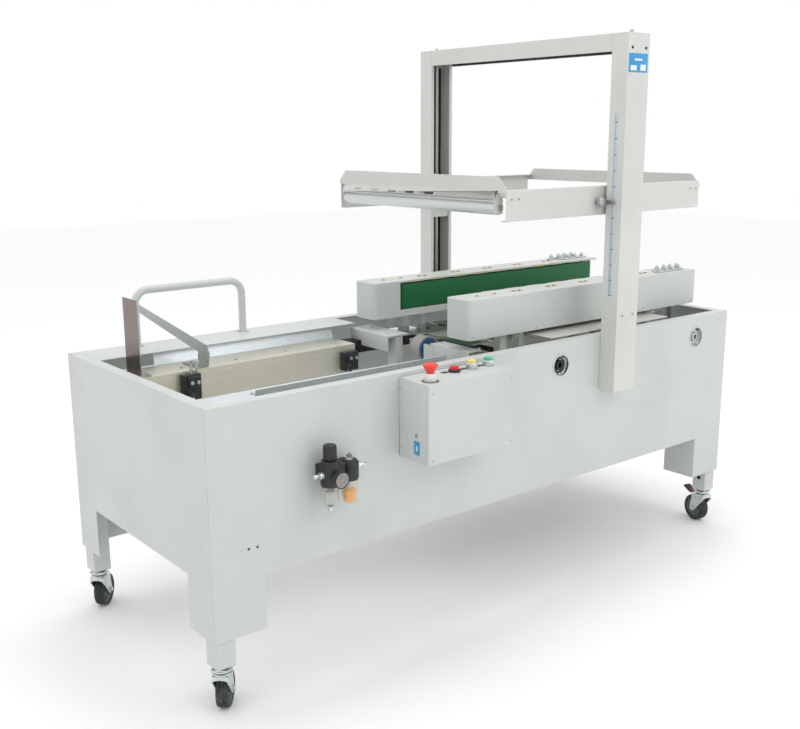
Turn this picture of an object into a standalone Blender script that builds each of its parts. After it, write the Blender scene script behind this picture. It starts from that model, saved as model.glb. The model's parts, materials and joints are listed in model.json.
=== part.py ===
"""A side-belt carton sealer on casters: an open-top cabinet with an infeed trough, two side belts that
slide together on left and right threaded screws, a bottom tape head, and a press roller frame that two
screws raise and lower inside a gantry. Metres, +Z up, +X towards the outfeed, the operator at -Y."""

import math

import bmesh
import bpy
from mathutils import Matrix, Vector

# Driving dimensions.
BODY_LENGTH = 2.2
BODY_WIDTH = 0.86
RIM_HEIGHT = 0.84
SKIRT_HEIGHT = 0.366
LEG_FOOT_HEIGHT = 0.213
LEG_LONG = 0.158
LEG_CROSS = 0.133
WALL = 0.003
GAP = 0.0003
WELD_LAP = 0.001  # how far a joined piece reaches into the one it is welded to
THROUGH = 0.01  # how far a cutter passes beyond a wall
RIM_FOLD = 0.036
SHELF_DEPTH = 0.16
SHELF_END = -0.12
POST_SIZE = 0.058
POST_INSET = 0.006
POST_BOTTOM = 0.133

CASTER_WHEEL_RADIUS = 0.05
CASTER_WHEEL_WIDTH = 0.034
CASTER_CROWN = 0.112
CASTER_TRAIL = 0.028

COLUMN_X = 0.425
COLUMN_WIDTH = 0.105
COLUMN_DEPTH = 0.064
COLUMN_BOTTOM = 0.652
COLUMN_TOP = 1.795
CAP = 0.004
BEAM_HEIGHT = 0.055
LIFT_SCREW_RADIUS = 0.009

FRAME_START = -0.066
FRAME_END = 0.89
FRAME_BOTTOM = 1.234
FRAME_TOP = 1.326
FRAME_HALF_WIDTH = 0.418
PLATE_TOP = 1.367
ROLLER_RADIUS = 0.021
ROLLER_HEIGHT = 1.274
ROLLER_REACH = FRAME_HALF_WIDTH - 0.034
ROLLER_SHAFT_RADIUS = 0.004

BELT_START = -0.10
BELT_END = 1.07
BELT_INNER = 0.185
BELT_DEPTH = 0.113
BELT_BOTTOM = 0.857
BELT_TOP = 0.985
BELT_HEIGHT = 0.088
BELT_LOW_EDGE = BELT_BOTTOM + 0.028
BELT_THICKNESS = 0.003
PULLEY_RADIUS = 0.034
IDLER_X = BELT_START + 0.158
DRIVE_X = BELT_END - 0.05
SHAFT_RADIUS = 0.01
CARRIAGE_BOTTOM = 0.742
CARRIAGE_TOP = 0.785
POST_SPANS = ((0.07, 0.1), (0.158, 0.178), (0.83, 0.86))

TABLE_HEIGHT = 0.818
TABLE_START = -0.02
TABLE_END = 1.07
TABLE_HALF_WIDTH = 0.2
HEAD_SLOT_HALF = 0.05
HEAD_START = 0.205
HEAD_END = 0.65
REEL_X = -0.038
REEL_HEIGHT = 0.782
REEL_RADIUS = 0.044
REEL_WIDTH = 0.05
REEL_LINE = -0.0085
ARM_PIVOT = (HEAD_START + 0.11, 0.745)
SPINDLE_RADIUS = 0.008
PIVOT_RADIUS = 0.006

SCREW_PLACES = (0.183, 0.91)
SCREW_HEIGHT = 0.7625
SCREW_RADIUS = 0.01
CRANK_HOLE_RADIUS = 0.035

GUIDE_START = -1.03
GUIDE_END = -0.20
GUIDE_INNER = 0.165
GUIDE_FLANGE = 0.13
GUIDE_TOP = 0.793
GUIDE_BOTTOM = 0.66

BOX_START = -0.49
BOX_LENGTH = 0.33
BOX_DEPTH = 0.13
BOX_BOTTOM = 0.597
BOX_TOP = 0.828
BEZEL_RADIUS = 0.0165

# The control box reaches further out than the far column, so the body's middle is off the part's middle.
BODY_OFFSET_Y = (BOX_DEPTH - COLUMN_DEPTH) / 2

HALF_LENGTH = BODY_LENGTH / 2
HALF_WIDTH = BODY_WIDTH / 2

# Each push button's x and y, the height of its collar above the box, and the radius of the part that moves.
BUTTONS = {
    "emergency_stop": (-0.452, -HALF_WIDTH - 0.092, 0.022, 0.0108),
    "stop_button": (-0.325, -HALF_WIDTH - 0.05, 0.007, 0.0135),
    "reset_button": (-0.258, -HALF_WIDTH - 0.05, 0.016, 0.0135),
    "start_button": (-0.191, -HALF_WIDTH - 0.05, 0.015, 0.0135),
}

COLOURS = {
    "white": ((0.80, 0.81, 0.79), 0.45, 0.0),
    "steel": ((0.62, 0.61, 0.58), 0.3, 1.0),
    "zinc": ((0.60, 0.62, 0.63), 0.35, 1.0),
    "dark": ((0.05, 0.05, 0.055), 0.5, 0.0),
    "rubber": ((0.04, 0.045, 0.045), 0.7, 0.0),
    "green": ((0.02, 0.16, 0.06), 0.6, 0.0),
    "red": ((0.75, 0.03, 0.03), 0.35, 0.0),
    "yellow": ((0.85, 0.65, 0.05), 0.35, 0.0),
    "go_green": ((0.02, 0.45, 0.25), 0.35, 0.0),
    "tape": ((0.55, 0.42, 0.25), 0.4, 0.0),
    "clear": ((0.85, 0.86, 0.82), 0.1, 0.0),
    "oil": ((0.75, 0.42, 0.05), 0.15, 0.0),
}


def clear_scene():
    for obj in list(bpy.data.objects):
        bpy.data.objects.remove(obj, do_unlink=True)


def material(node, finish):
    colour, roughness, metallic = COLOURS[finish]
    made = bpy.data.materials.new(node)
    made.use_nodes = True
    shader = made.node_tree.nodes["Principled BSDF"]
    shader.inputs["Base Color"].default_value = (*colour, 1.0)
    shader.inputs["Roughness"].default_value = roughness
    shader.inputs["Metallic"].default_value = metallic
    return made


class Shop:
    """Holds the two collections and the empty that every piece hangs from."""

    def __init__(self):
        scene = bpy.context.scene.collection
        self.parts = bpy.data.collections.new("carton_sealer")
        self.cutters = bpy.data.collections.new("cutters")
        self.cutters.hide_render = True
        scene.children.link(self.parts)
        scene.children.link(self.cutters)
        self.machine = bpy.data.objects.new("machine", None)
        self.machine.location = (0, BODY_OFFSET_Y, 0)
        self.parts.objects.link(self.machine)

    def piece(self, name, mesh, finish, place=(0, 0, 0), turn=(0, 0, 0)):
        made = bpy.data.objects.new(name, mesh)
        mesh.materials.append(material(name, finish))
        self.parts.objects.link(made)
        made.parent = self.machine
        made.location = place
        made.rotation_euler = turn
        return made

    def helper(self, mesh, place=(0, 0, 0), turn=(0, 0, 0)):
        """A body that a Boolean joins to, or cuts from, a piece of the machine."""
        made = bpy.data.objects.new("cutter", mesh)
        made.hide_render = True
        made.display_type = "WIRE"
        self.cutters.objects.link(made)
        made.parent = self.machine
        made.location = place
        made.rotation_euler = turn
        return made

    def boolean(self, piece, mesh, operation, place=(0, 0, 0), turn=(0, 0, 0)):
        modifier = piece.modifiers.new(operation.lower(), "BOOLEAN")
        modifier.operation = operation
        modifier.solver = "EXACT"
        modifier.object = self.helper(mesh, place, turn)

    def join(self, piece, mesh, place=(0, 0, 0), turn=(0, 0, 0)):
        self.boolean(piece, mesh, "UNION", place, turn)

    def cut(self, piece, mesh, place=(0, 0, 0), turn=(0, 0, 0)):
        self.boolean(piece, mesh, "DIFFERENCE", place, turn)


def finished(form, name="shape"):
    mesh = bpy.data.meshes.new(name)
    form.to_mesh(mesh)
    form.free()
    return mesh


def block(low, high, bevel=0.0):
    """A box between two corners."""
    form = bmesh.new()
    size = [b - a for a, b in zip(low, high)]
    middle = [(a + b) / 2 for a, b in zip(low, high)]
    bmesh.ops.create_cube(form, size=1, matrix=Matrix.Translation(middle) @ Matrix.Diagonal((*size, 1)))
    if bevel:
        bmesh.ops.bevel(form, geom=form.edges[:], offset=bevel, segments=1, affect="EDGES")
    return finished(form)


AXES = {"X": Matrix.Rotation(math.pi / 2, 4, "Y"), "Y": Matrix.Rotation(-math.pi / 2, 4, "X"), "Z": Matrix()}


def rod(radius, start, end, axis, other=(0, 0), sides=24, top_radius=None):
    """A cylinder or cone along an axis from start to end; other holds its two remaining coordinates in
    X, Y, Z order."""
    middle = list(other)
    middle.insert("XYZ".index(axis), (start + end) / 2)
    form = bmesh.new()
    bmesh.ops.create_cone(
        form,
        cap_ends=True,
        segments=sides,
        radius1=radius,
        radius2=radius if top_radius is None else top_radius,
        depth=end - start,
        matrix=Matrix.Translation(middle) @ AXES[axis],
    )
    mesh = finished(form)
    mesh.shade_smooth()
    mesh.set_sharp_from_angle(angle=math.radians(35))
    return mesh


def sheet_piece(shop, name, outline, axis, start, end, finish, wall=WALL, offset=0.0):
    """A folded sheet: an open outline drawn out along an axis, with a wall's thickness."""
    form = bmesh.new()
    spot = "XYZ".index(axis)
    ring = []
    for pair in outline:
        point = list(pair)
        point.insert(spot, start)
        ring.append(form.verts.new(point))
    edges = [form.edges.new(pair) for pair in zip(ring, ring[1:])]
    grown = bmesh.ops.extrude_edge_only(form, edges=edges)["geom"]
    travel = Vector([end - start if i == spot else 0 for i in range(3)])
    bmesh.ops.translate(form, verts=[v for v in grown if isinstance(v, bmesh.types.BMVert)], vec=travel)
    bmesh.ops.recalc_face_normals(form, faces=form.faces[:])
    made = shop.piece(name, finished(form), finish)
    solidify = made.modifiers.new("wall", "SOLIDIFY")
    solidify.thickness = wall
    solidify.offset = offset
    solidify.use_even_offset = True
    return made


def slab(outline, axis, low, high):
    """A prism: a flat outline, given in the two other axes in X, Y, Z order, drawn out from low to high."""
    form = bmesh.new()
    spot = "XYZ".index(axis)
    ring = []
    for pair in outline:
        point = list(pair)
        point.insert(spot, low)
        ring.append(form.verts.new(point))
    face = form.faces.new(ring)
    grown = bmesh.ops.extrude_face_region(form, geom=[face])["geom"]
    travel = Vector([high - low if i == spot else 0 for i in range(3)])
    bmesh.ops.translate(form, verts=[v for v in grown if isinstance(v, bmesh.types.BMVert)], vec=travel)
    bmesh.ops.recalc_face_normals(form, faces=form.faces[:])
    return finished(form)


def turned(shop, name, profile, finish, place, turn=(0, 0, 0), steps=24):
    """A turned piece: a profile of (radius, height) from its top down to its bottom, spun about local Z."""
    form = bmesh.new()
    points = [form.verts.new((radius, 0, height)) for radius, height in profile]
    for pair in zip(points, points[1:]):
        form.edges.new(pair)
    made = shop.piece(name, finished(form), finish, place, turn)
    screw = made.modifiers.new("turn", "SCREW")
    screw.axis = "Z"
    screw.steps = steps
    screw.render_steps = steps
    screw.use_merge_vertices = True
    screw.merge_threshold = 0.00005
    screw.use_smooth_shade = True
    return made


# Cabinet


def side_outline():
    """The long side seen from the front: a skirt between two legs."""
    inner = HALF_LENGTH - LEG_LONG
    return [
        (-HALF_LENGTH, RIM_HEIGHT),
        (-HALF_LENGTH, LEG_FOOT_HEIGHT),
        (-inner, LEG_FOOT_HEIGHT),
        (-inner, SKIRT_HEIGHT),
        (inner, SKIRT_HEIGHT),
        (inner, LEG_FOOT_HEIGHT),
        (HALF_LENGTH, LEG_FOOT_HEIGHT),
        (HALF_LENGTH, RIM_HEIGHT),
    ]


def side_panel(shop, name, side):
    """side is -1 for the operator's side and 1 for the far side."""
    face = side * HALF_WIDTH
    inside = face - side * WALL
    panel = shop.piece(name, slab(side_outline(), "Y", min(face, inside), max(face, inside)), "white")
    lap = WELD_LAP / 2
    return_top = SKIRT_HEIGHT + 0.05
    pad_depth = 0.029
    pad_reach = 0.048
    hole_depth = 0.018
    bearing_start = 0.006

    def across(near, far):
        return sorted((face - side * near, face - side * far))

    low, high = across(WALL - lap, RIM_FOLD)
    reach = HALF_LENGTH - WALL - GAP
    shop.join(panel, block((-reach, low, RIM_HEIGHT - WALL), (reach, high, RIM_HEIGHT)))
    if side > 0:
        low, high = across(RIM_FOLD - lap, SHELF_DEPTH)
        shelf_start = -HALF_LENGTH + RIM_FOLD + GAP
        shop.join(panel, block((shelf_start, low, RIM_HEIGHT - WALL), (SHELF_END, high, RIM_HEIGHT)))
    for end in (-1, 1):
        x0, x1 = sorted((end * (HALF_LENGTH - LEG_LONG), end * (HALF_LENGTH - LEG_LONG + WALL)))
        low, high = across(WALL - lap, LEG_CROSS)
        shop.join(panel, block((x0, low, LEG_FOOT_HEIGHT), (x1, high, return_top)))
    for place in SCREW_PLACES:
        low, high = across(WALL - lap, pad_depth)
        low_corner = (place - pad_reach, low, SCREW_HEIGHT - pad_reach)
        shop.join(panel, block(low_corner, (place + pad_reach, high, SCREW_HEIGHT + pad_reach)))
        if side < 0:
            low, high = across(-THROUGH, hole_depth)
            shop.cut(panel, rod(CRANK_HOLE_RADIUS, low, high, "Y", (place, SCREW_HEIGHT), 32))
        low, high = across(-THROUGH if side < 0 else bearing_start, pad_depth + THROUGH)
        shop.cut(panel, rod(SCREW_RADIUS + 0.0005, low, high, "Y", (place, SCREW_HEIGHT), 16))


def end_panel(shop, name, end):
    """An end of the cabinet with its two leg corners and foot posts, one welded piece. end is -1 or 1."""
    inner = HALF_WIDTH - LEG_CROSS
    edge = HALF_WIDTH - WALL - GAP
    outline = [
        (-edge, RIM_HEIGHT),
        (-edge, LEG_FOOT_HEIGHT),
        (-inner, LEG_FOOT_HEIGHT),
        (-inner, SKIRT_HEIGHT),
        (inner, SKIRT_HEIGHT),
        (inner, LEG_FOOT_HEIGHT),
        (edge, LEG_FOOT_HEIGHT),
        (edge, RIM_HEIGHT),
    ]
    face = end * HALF_LENGTH
    inside = end * (HALF_LENGTH - WALL)
    panel = shop.piece(name, slab(outline, "X", min(face, inside), max(face, inside)), "white")
    lap = WELD_LAP / 2
    x0, x1 = sorted((end * (HALF_LENGTH - WALL + lap), end * (HALF_LENGTH - RIM_FOLD)))
    fold = HALF_WIDTH - RIM_FOLD - GAP
    shop.join(panel, block((x0, -fold, RIM_HEIGHT - WALL), (x1, fold, RIM_HEIGHT)))
    post_edge = 0.003
    post_top = SKIRT_HEIGHT - 0.03
    spacer_start = POST_INSET + 0.01
    spacer_end = POST_INSET + 0.04
    for side in (-1, 1):
        x0, x1 = sorted((end * (HALF_LENGTH - POST_INSET), end * (HALF_LENGTH - POST_INSET - POST_SIZE)))
        y0, y1 = sorted((side * (HALF_WIDTH - POST_INSET), side * (HALF_WIDTH - POST_INSET - POST_SIZE)))
        shop.join(panel, block((x0, y0, POST_BOTTOM), (x1, y1, post_top), post_edge))
        x0, x1 = sorted((end * (HALF_LENGTH - WALL + lap), end * (HALF_LENGTH - spacer_start)))
        y0, y1 = sorted((side * (HALF_WIDTH - spacer_start), side * (HALF_WIDTH - spacer_end)))
        shop.join(panel, block((x0, y0, LEG_FOOT_HEIGHT + 0.03), (x1, y1, post_top - 0.02)))


def hoop_handle(shop):
    """The white tube bent over the far shelf."""
    left, right, top, bend, radius = -0.885, -0.50, 1.015, 0.045, 0.0125
    line = 0.40
    curve = bpy.data.curves.new("hoop", "CURVE")
    curve.dimensions = "3D"
    points = [(left, RIM_HEIGHT + GAP)]
    for middle, begin in ((left + bend, math.pi), (right - bend, math.pi / 2)):
        for step in range(7):
            angle = begin - step * math.pi / 12
            points.append((middle + bend * math.cos(angle), top - bend + bend * math.sin(angle)))
    points.append((right, RIM_HEIGHT + GAP))
    spline = curve.splines.new("POLY")
    spline.points.add(len(points) - 1)
    for spot, (x, z) in zip(spline.points, points):
        spot.co = (x, line, z, 1)
    curve.bevel_depth = radius
    curve.bevel_resolution = 2
    curve.use_fill_caps = True
    made = bpy.data.objects.new("hoop_handle", curve)
    curve.materials.append(material("hoop_handle", "white"))
    shop.parts.objects.link(made)
    made.parent = shop.machine


# Casters


def caster_spots():
    inset = POST_INSET + POST_SIZE / 2
    return {
        "left_near": (-HALF_LENGTH + inset, -HALF_WIDTH + inset, math.radians(48)),
        "left_far": (-HALF_LENGTH + inset, HALF_WIDTH - inset, math.radians(46)),
        "right_near": (HALF_LENGTH - inset, -HALF_WIDTH + inset, math.radians(78)),
        "right_far": (HALF_LENGTH - inset, HALF_WIDTH - inset, math.radians(258)),
    }


def caster(shop, name, x, y, heading, braked):
    """heading is the direction from the swivel axis to the axle."""
    turn = (0, 0, heading)
    spot = (x, y, 0)
    half = CASTER_WHEEL_WIDTH / 2
    cheek_inside = half + 0.002
    cheek_outside = cheek_inside + 0.0025
    boss = 0.014
    race_radius, race_top = 0.026, 0.122
    stem_radius, axle_radius = 0.012, 0.005
    axle = CASTER_WHEEL_RADIUS
    crown = CASTER_CROWN
    cheeks = [
        (-0.027, crown),
        (-0.027, crown - 0.012),
        (CASTER_TRAIL - boss, axle - 0.004),
        (CASTER_TRAIL - 0.006, axle - boss),
        (CASTER_TRAIL + 0.006, axle - boss),
        (CASTER_TRAIL + boss, axle - 0.002),
        (0.034, crown - 0.012),
        (0.034, crown),
    ]
    solid = slab(cheeks, "Y", -cheek_outside, cheek_outside)
    fork = shop.piece(f"caster_fork_{name}", solid, "zinc", spot, turn)
    wheel_room = block((-0.06, -cheek_inside, -THROUGH), (0.09, cheek_inside, crown - WALL))
    shop.cut(fork, wheel_room, spot, turn)
    shop.join(fork, rod(race_radius, crown - WELD_LAP, race_top, "Z", sides=20), spot, turn)
    shop.join(fork, rod(stem_radius, race_top - WELD_LAP, POST_BOTTOM - GAP, "Z", sides=16), spot, turn)
    bolt_end = cheek_outside + 0.0035
    shop.join(fork, rod(axle_radius, -bolt_end, bolt_end, "Y", (CASTER_TRAIL, axle), 12), spot, turn)
    direction = Vector((math.cos(heading), math.sin(heading)))
    hub = (x + direction.x * CASTER_TRAIL, y + direction.y * CASTER_TRAIL, axle)
    rim = CASTER_WHEEL_RADIUS
    bore = axle_radius + 0.0006
    upper_half = [
        (bore, half - 0.001),
        (boss, half - 0.001),
        (boss, half - 0.004),
        (rim - 0.014, half - 0.004),
        (rim - 0.012, half),
        (rim - 0.006, half),
        (rim, half - 0.007),
    ]
    lower_half = [(radius, -height) for radius, height in reversed(upper_half)]
    profile = upper_half + lower_half + upper_half[:1]
    turned(shop, f"caster_wheel_{name}", profile, "rubber", hub, (-math.pi / 2, 0, heading))
    if braked:
        pedal_half = 0.016
        toe = 0.088
        tread = [(0.036, 0.112), (0.036, 0.104), (0.055, 0.104), (toe, 0.12), (toe, 0.125), (0.053, 0.112)]
        shop.piece(f"brake_pedal_{name}", slab(tread, "Y", -pedal_half, pedal_half), "red", spot, turn)


# Gantry


def column(shop, name, side):
    """A channel open towards the machine, with a cap that the lift screw turns in."""
    outer = side * (HALF_WIDTH + COLUMN_DEPTH - WALL / 2)
    opening = side * (HALF_WIDTH + GAP + WALL / 2)
    half = COLUMN_WIDTH / 2 - WALL / 2
    lip = 0.012
    outline = [
        (COLUMN_X - half + lip, opening),
        (COLUMN_X - half, opening),
        (COLUMN_X - half, outer),
        (COLUMN_X + half, outer),
        (COLUMN_X + half, opening),
        (COLUMN_X + half - lip, opening),
    ]
    made = sheet_piece(shop, name, outline, "Z", COLUMN_BOTTOM, COLUMN_TOP, "white")
    y0, y1 = sorted((side * (HALF_WIDTH + GAP), side * (HALF_WIDTH + COLUMN_DEPTH - WELD_LAP)))
    reach = COLUMN_WIDTH / 2 - WELD_LAP
    middle = side * (HALF_WIDTH + COLUMN_DEPTH / 2)
    for low, high in ((COLUMN_TOP - CAP, COLUMN_TOP), (COLUMN_BOTTOM, COLUMN_BOTTOM + CAP)):
        shop.join(made, block((COLUMN_X - reach, y0, low), (COLUMN_X + reach, y1, high)))
    bearing_radius = LIFT_SCREW_RADIUS + 2 * GAP
    low, high = COLUMN_TOP - CAP - THROUGH, COLUMN_TOP + THROUGH
    shop.cut(made, rod(bearing_radius, low, high, "Z", (COLUMN_X, middle), 16))


def gantry_beam(shop):
    """An upside-down channel between the two columns."""
    half = COLUMN_WIDTH / 2 - WALL / 2
    top = COLUMN_TOP - WALL / 2
    low = COLUMN_TOP - BEAM_HEIGHT
    outline = [(COLUMN_X - half, low), (COLUMN_X - half, top), (COLUMN_X + half, top), (COLUMN_X + half, low)]
    sheet_piece(shop, "gantry_beam", outline, "Y", -HALF_WIDTH, HALF_WIDTH, "white")


def lift_screw(shop, name, side):
    middle = side * (HALF_WIDTH + COLUMN_DEPTH / 2)
    radius = LIFT_SCREW_RADIUS
    bottom = COLUMN_BOTTOM + CAP + GAP
    crank_radius, collar_radius = 0.006, 0.02
    turned(
        shop,
        name,
        [
            (0, COLUMN_TOP + 0.012),
            (crank_radius, COLUMN_TOP + 0.012),
            (crank_radius, COLUMN_TOP - CAP),
            (radius, COLUMN_TOP - 0.006),
            (radius, COLUMN_TOP - 0.03),
            (collar_radius, COLUMN_TOP - 0.03),
            (collar_radius, COLUMN_TOP - 0.038),
            (radius, COLUMN_TOP - 0.038),
            (radius, bottom),
            (0, bottom),
        ],
        "zinc",
        (COLUMN_X, middle, 0),
        steps=16,
    )


# Top frame


def top_rail(shop, name, side):
    """A channel along the side of the top frame, with the block that the lift screw passes through."""
    web = side * (FRAME_HALF_WIDTH - WALL / 2)
    top = FRAME_TOP - WALL / 2
    bottom = FRAME_BOTTOM + WALL / 2
    outline = [
        (side * (FRAME_HALF_WIDTH - 0.032), top),
        (web, top),
        (web, bottom),
        (side * (FRAME_HALF_WIDTH - 0.022), bottom),
    ]
    made = sheet_piece(shop, name, outline, "X", FRAME_START, FRAME_END, "white")
    middle = side * (HALF_WIDTH + COLUMN_DEPTH / 2)
    neck = COLUMN_WIDTH / 2 - 0.02
    y0, y1 = sorted((side * (FRAME_HALF_WIDTH - WELD_LAP), middle))
    neck_low, neck_high = FRAME_BOTTOM + 0.01, FRAME_TOP - 0.01
    shop.join(made, block((COLUMN_X - neck, y0, neck_low), (COLUMN_X + neck, y1, neck_high)))
    play = 0.006
    reach = COLUMN_WIDTH / 2 - play
    y0, y1 = sorted((side * (HALF_WIDTH + play), side * (HALF_WIDTH + COLUMN_DEPTH - play)))
    shop.join(made, block((COLUMN_X - reach, y0, FRAME_BOTTOM - 0.06), (COLUMN_X + reach, y1, FRAME_TOP)))
    nut_low, nut_high = FRAME_BOTTOM - 0.1, FRAME_TOP + 0.1
    shop.cut(made, rod(LIFT_SCREW_RADIUS + 0.0008, nut_low, nut_high, "Z", (COLUMN_X, middle), 16))
    if side < 0:
        pointer_end = COLUMN_X - COLUMN_WIDTH / 2 - 0.002
        pointer_low, pointer_high = 1.268, 1.282
        pointer_reach = HALF_WIDTH + 0.038
        low_corner = (pointer_end - 0.004, -pointer_reach, pointer_low)
        shop.join(made, block(low_corner, (pointer_end, -FRAME_HALF_WIDTH + WELD_LAP, pointer_high)))


def cross_plate(shop, name, x, low, high, forward):
    """An upright plate across the top frame with its top corners cut off."""
    chamfer = 0.034
    half = FRAME_HALF_WIDTH
    outline = [
        (-half, low),
        (half, low),
        (half, high - chamfer),
        (half - chamfer, high),
        (-half + chamfer, high),
        (-half, high - chamfer),
    ]
    x0, x1 = sorted((x, x + forward * WALL))
    return shop.piece(name, slab(outline, "X", x0, x1), "white")


def front_plate(shop):
    """The front plate's lower half leans forward as a slotted ramp, and its ears carry the press roller."""
    x = FRAME_START - GAP
    made = cross_plate(shop, "front_plate", x, 1.3185, PLATE_TOP, -1)
    reach = ROLLER_REACH
    ramp = [(x, 1.324), (x - WALL, 1.3255), (x - 0.019, 1.295), (x - 0.0165, 1.293)]
    shop.join(made, slab(ramp, "Y", -reach, reach))
    slot_half, slot_low, slot_high = 0.02, 1.3045, 1.3095
    for slot in range(5):
        y = 0.30 - slot * 0.095
        shop.cut(made, block((x - 0.03, y - slot_half, slot_low), (x + THROUGH, y + slot_half, slot_high)))
    shaft = (x + 0.006, ROLLER_HEIGHT)
    for side in (-1, 1):
        y0, y1 = sorted((side * (reach - 0.0005), side * (reach - 0.004)))
        ear = [(x - 0.018, 1.298), (x - 0.012, 1.256), (x + 0.02, 1.256), (x + 0.02, 1.3), (x - 0.002, 1.323)]
        shop.join(made, slab(ear, "Y", y0, y1))
        shop.cut(made, rod(ROLLER_SHAFT_RADIUS + 0.0005, y0 - THROUGH, y1 + THROUGH, "Y", shaft, 12))
    return shaft


def press_roller(shop, shaft):
    reach = ROLLER_REACH + 0.001
    face = ROLLER_REACH - 0.0055
    turned(
        shop,
        "press_roller",
        [
            (0, reach),
            (ROLLER_SHAFT_RADIUS, reach),
            (ROLLER_SHAFT_RADIUS, face),
            (ROLLER_RADIUS - 0.001, face),
            (ROLLER_RADIUS, face - 0.001),
            (ROLLER_RADIUS, -face + 0.001),
            (ROLLER_RADIUS - 0.001, -face),
            (ROLLER_SHAFT_RADIUS, -face),
            (ROLLER_SHAFT_RADIUS, -reach),
            (0, -reach),
        ],
        "zinc",
        (shaft[0], 0, shaft[1]),
        (-math.pi / 2, 0, 0),
    )


def lock_knob(shop):
    """The hand knob that clamps the top frame's height, on the near rail's outer face."""
    turned(
        shop,
        "lock_knob",
        [(0, 0.03), (0.013, 0.03), (0.016, 0.027), (0.016, 0.012), (0.007, 0.009), (0.007, GAP), (0, GAP)],
        "dark",
        (COLUMN_X - COLUMN_WIDTH / 2 - 0.032, -FRAME_HALF_WIDTH, 1.276),
        (math.pi / 2, 0, 0),
        steps=16,
    )


# Side belts


def belt_line(side):
    """Where the pulley axes stand, so that the belt's outer run is flush with the housing's inner face."""
    return side * (BELT_INNER + PULLEY_RADIUS + 0.004)


def housing_outline(low, high):
    """The housing from above: square at the outfeed, with rounded corners at the infeed nose."""
    corner, arcs = 0.018, 4
    outline = [(BELT_END, low), (BELT_END, high)]
    for middle, begin in ((high - corner, math.pi / 2), (low + corner, math.pi)):
        for step in range(arcs + 1):
            angle = begin + step * math.pi / 2 / arcs
            x = BELT_START + corner + corner * math.cos(angle)
            outline.append((x, middle + corner * math.sin(angle)))
    return outline


def loop_outline(reach, line):
    """The belt's path from above, reach away from the pulley axes."""
    arcs = 12
    outline = []
    for middle, begin in ((DRIVE_X, -math.pi / 2), (IDLER_X, math.pi / 2)):
        for step in range(arcs + 1):
            angle = begin + step * math.pi / arcs
            outline.append((middle + reach * math.cos(angle), line + reach * math.sin(angle)))
    return outline


def belt_housing(shop, name, side):
    inner = side * BELT_INNER
    outer = side * (BELT_INNER + BELT_DEPTH)
    low, high = sorted((inner, outer))
    skin = 0.004
    window, hollow = BELT_START + 0.118, BELT_START + 0.022
    solid = slab(housing_outline(low, high), "Z", BELT_BOTTOM, BELT_TOP)
    housing = shop.piece(f"belt_housing_{name}", solid, "white")
    y0, y1 = sorted((inner - side * THROUGH, outer - side * skin))
    low_corner = (window, y0, BELT_LOW_EDGE - 0.003)
    shop.cut(housing, block(low_corner, (BELT_END + THROUGH, y1, BELT_LOW_EDGE + BELT_HEIGHT + 0.005)))
    y0, y1 = sorted((inner + side * skin, outer - side * skin))
    low_corner = (hollow, y0, BELT_BOTTOM + skin)
    shop.cut(housing, block(low_corner, (BELT_END + THROUGH, y1, BELT_TOP - skin)))
    hole_radius = SHAFT_RADIUS + 0.0005
    line = belt_line(side)
    for x in (IDLER_X, DRIVE_X):
        shop.cut(housing, rod(hole_radius, BELT_BOTTOM - THROUGH, BELT_BOTTOM + THROUGH, "Z", (x, line), 16))


def belt_unit(shop, name, side):
    belt_housing(shop, name, side)
    line = belt_line(side)
    high_edge = BELT_LOW_EDGE + BELT_HEIGHT
    outside = loop_outline(PULLEY_RADIUS + BELT_THICKNESS + GAP, line)
    belt = shop.piece(f"side_belt_{name}", slab(outside, "Z", BELT_LOW_EDGE, high_edge), "green")
    inside = loop_outline(PULLEY_RADIUS + GAP, line)
    shop.cut(belt, slab(inside, "Z", BELT_LOW_EDGE - THROUGH, high_edge + THROUGH))
    drum_end = 0.002
    for kind, x, tail in (("idler", IDLER_X, BELT_BOTTOM), ("drive", DRIVE_X, CARRIAGE_BOTTOM)):
        profile = [
            (0, BELT_TOP - 0.005),
            (SHAFT_RADIUS, BELT_TOP - 0.005),
            (SHAFT_RADIUS, high_edge - drum_end),
            (PULLEY_RADIUS, high_edge - drum_end),
            (PULLEY_RADIUS, BELT_LOW_EDGE + drum_end),
            (SHAFT_RADIUS, BELT_LOW_EDGE + drum_end),
            (SHAFT_RADIUS, tail),
            (0, tail),
        ]
        turned(shop, f"{kind}_pulley_{name}", profile, "zinc", (x, line, 0))


def belt_carriage(shop, name, side):
    """The bar that rides on the two width screws, with the posts that carry the belt housing."""
    y0, y1 = sorted((side * 0.225, side * 0.285))
    start, end = GUIDE_END - 0.12, BELT_END - 0.085
    bar = shop.piece(
        f"belt_carriage_{name}", block((start, y0, CARRIAGE_BOTTOM), (end, y1, CARRIAGE_TOP)), "dark"
    )
    p0, p1 = sorted((side * 0.235, side * 0.265))
    for x0, x1 in POST_SPANS:
        shop.join(bar, block((x0, p0, CARRIAGE_TOP - WELD_LAP), (x1, p1, BELT_BOTTOM - GAP)))
    for place in SCREW_PLACES:
        nut = rod(SCREW_RADIUS + 0.0008, y0 - THROUGH, y1 + THROUGH, "Y", (place, SCREW_HEIGHT), 16)
        shop.cut(bar, nut)


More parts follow.
